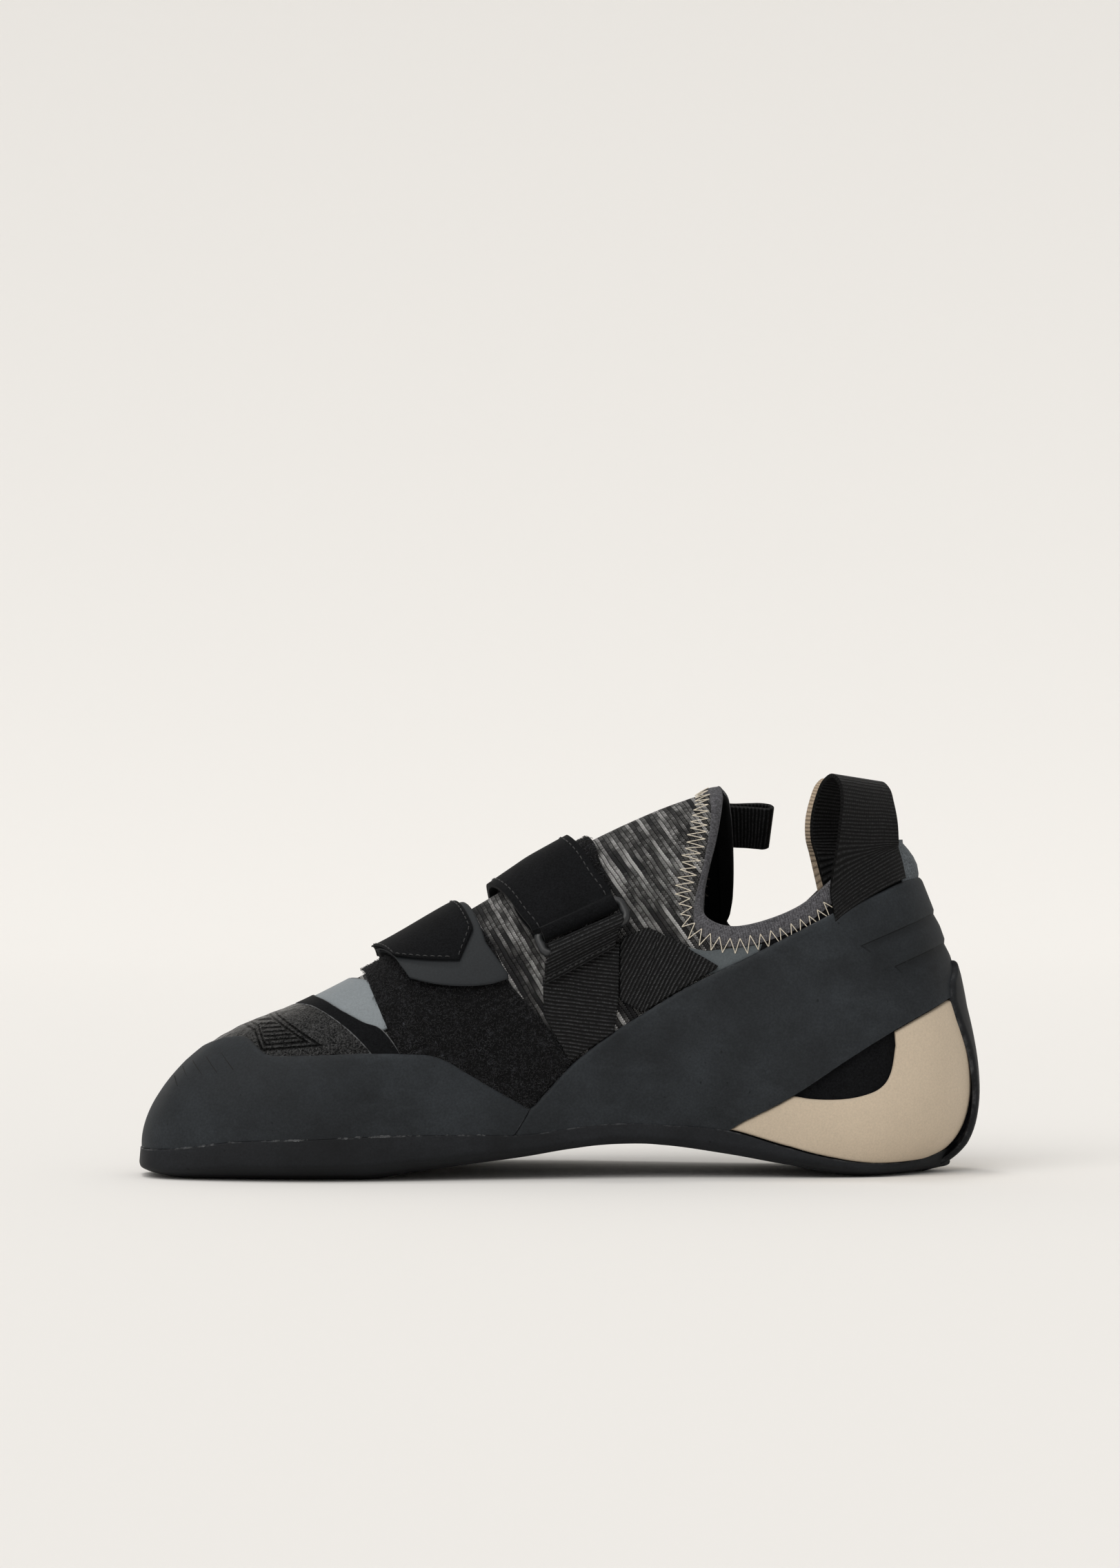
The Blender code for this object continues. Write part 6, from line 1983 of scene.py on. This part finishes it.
class SHOE_OT_stage(bpy.types.Operator):
    """Makes the pale floor that curves up into the backdrop, the soft light and the camera"""

    bl_idname = "shoe.stage"
    bl_label = "Stage"

    def execute(self, context):
        profile = [(FLOOR_NEAR, 0.0), (FLOOR_FAR, 0.0)]
        for angle in np.radians(np.linspace(6, 90, 15)):
            profile.append((FLOOR_FAR + SWEEP_RADIUS * math.sin(angle), SWEEP_RADIUS * (1 - math.cos(angle))))
        profile.append((FLOOR_FAR + SWEEP_RADIUS, BACKDROP_HIGH))
        columns = (-FLOOR_HALF, 0.0, FLOOR_HALF)
        points = np.array([[[x, y, z] for x in columns] for y, z in profile]) - CENTRE
        sweep = grid_piece("floor", points, points[..., :2] * MM)
        smooth(sweep, 60.0)
        sweep.data.materials.append(self.paper())
        self.sun("key", (0.35, 0.58, -0.73), 1.5, 50.0)
        self.sun("top", (0.2, -0.15, -0.97), 0.5, 12.0)
        world = bpy.data.worlds.new("studio")
        context.scene.world = world
        world.use_nodes = True
        sky = world.node_tree
        seen = add(sky, "LightPath").outputs["Is Camera Ray"]
        background = sky.nodes["Background"]
        feed(sky, background.inputs[0], SKY_COLOUR)
        feed(sky, background.inputs[1], stretch(sky, seen, 0.0, 1.0, SKY_LIGHT, SKY_SEEN))
        context.scene.view_settings.view_transform = "Standard"
        camera = bpy.data.cameras.new("camera")
        camera.lens = LENS
        camera.sensor_width = SENSOR
        camera.clip_end = 50.0
        holder = bpy.data.objects.new("camera", camera)
        context.scene.collection.objects.link(holder)
        holder.location = CAMERA_PLACE
        holder.rotation_euler = (math.pi / 2, 0.0, 0.0)
        context.scene.camera = holder
        return {"FINISHED"}

    def paper(self):
        """A matt pale finish."""
        made, tree, shader = new_finish("floor_paper")
        dress(tree, shader, base=(*tint("floor"), 1.0), rough=0.9, shine=0.1)
        return made

    def sun(self, name, toward, strength, spread):
        """Even light that shines this way, from a disc of this many degrees."""
        lamp = bpy.data.lights.new(name, "SUN")
        lamp.energy = strength
        lamp.angle = math.radians(spread)
        lamp.color = LAMP_COLOUR
        holder = bpy.data.objects.new(name, lamp)
        bpy.context.scene.collection.objects.link(holder)
        fall = math.acos(-toward[2] / np.linalg.norm(toward))
        holder.rotation_euler = (fall, 0.0, math.atan2(toward[1], toward[0]) - math.pi / 2)


class SHOE_PT_panel(bpy.types.Panel):
    """Lists the pieces of the shoe with their sizes and colours"""

    bl_idname = "SHOE_PT_panel"
    bl_label = "Climbing shoe"
    bl_space_type = "VIEW_3D"
    bl_region_type = "UI"
    bl_category = "Shoe"

    def draw(self, context):
        """Draws a button for each piece, and a box for the sizes and the colours."""
        for operator in OPERATORS:
            self.layout.operator(operator.bl_idname)
        for group in (context.scene.shoe_sizes, context.scene.shoe_colours):
            box = self.layout.box()
            for name in group.bl_rna.properties.keys():
                if name not in ("rna_type", "name"):
                    box.prop(group, name)


OPERATORS = (
    SHOE_OT_sole,
    SHOE_OT_upper,
    SHOE_OT_rubber,
    SHOE_OT_heel_cups,
    SHOE_OT_vamp,
    SHOE_OT_loop_panel,
    SHOE_OT_toe_strap,
    SHOE_OT_ankle_strap,
    SHOE_OT_webbing,
    SHOE_OT_collar,
    SHOE_OT_pull_loops,
    SHOE_OT_stage,
)
CLASSES = (ShoeSizes, ShoeColours, *OPERATORS, SHOE_PT_panel)


def register():
    """Makes the operators, the panel and the settings known."""
    for item in CLASSES:
        bpy.utils.register_class(item)
    bpy.types.Scene.shoe_sizes = bpy.props.PointerProperty(type=ShoeSizes)
    bpy.types.Scene.shoe_colours = bpy.props.PointerProperty(type=ShoeColours)


def unregister():
    """Takes them away again."""
    del bpy.types.Scene.shoe_colours
    del bpy.types.Scene.shoe_sizes
    for item in reversed(CLASSES):
        bpy.utils.unregister_class(item)


def main():
    """Makes every piece and the stage."""
    register()
    bpy.ops.shoe.sole()
    bpy.ops.shoe.upper()
    bpy.ops.shoe.rubber()
    bpy.ops.shoe.heel_cups()
    bpy.ops.shoe.vamp()
    bpy.ops.shoe.loop_panel()
    bpy.ops.shoe.toe_strap()
    bpy.ops.shoe.ankle_strap()
    bpy.ops.shoe.webbing()
    bpy.ops.shoe.collar()
    bpy.ops.shoe.pull_loops()
    bpy.ops.shoe.stage()


if __name__ == "__main__":
    main()
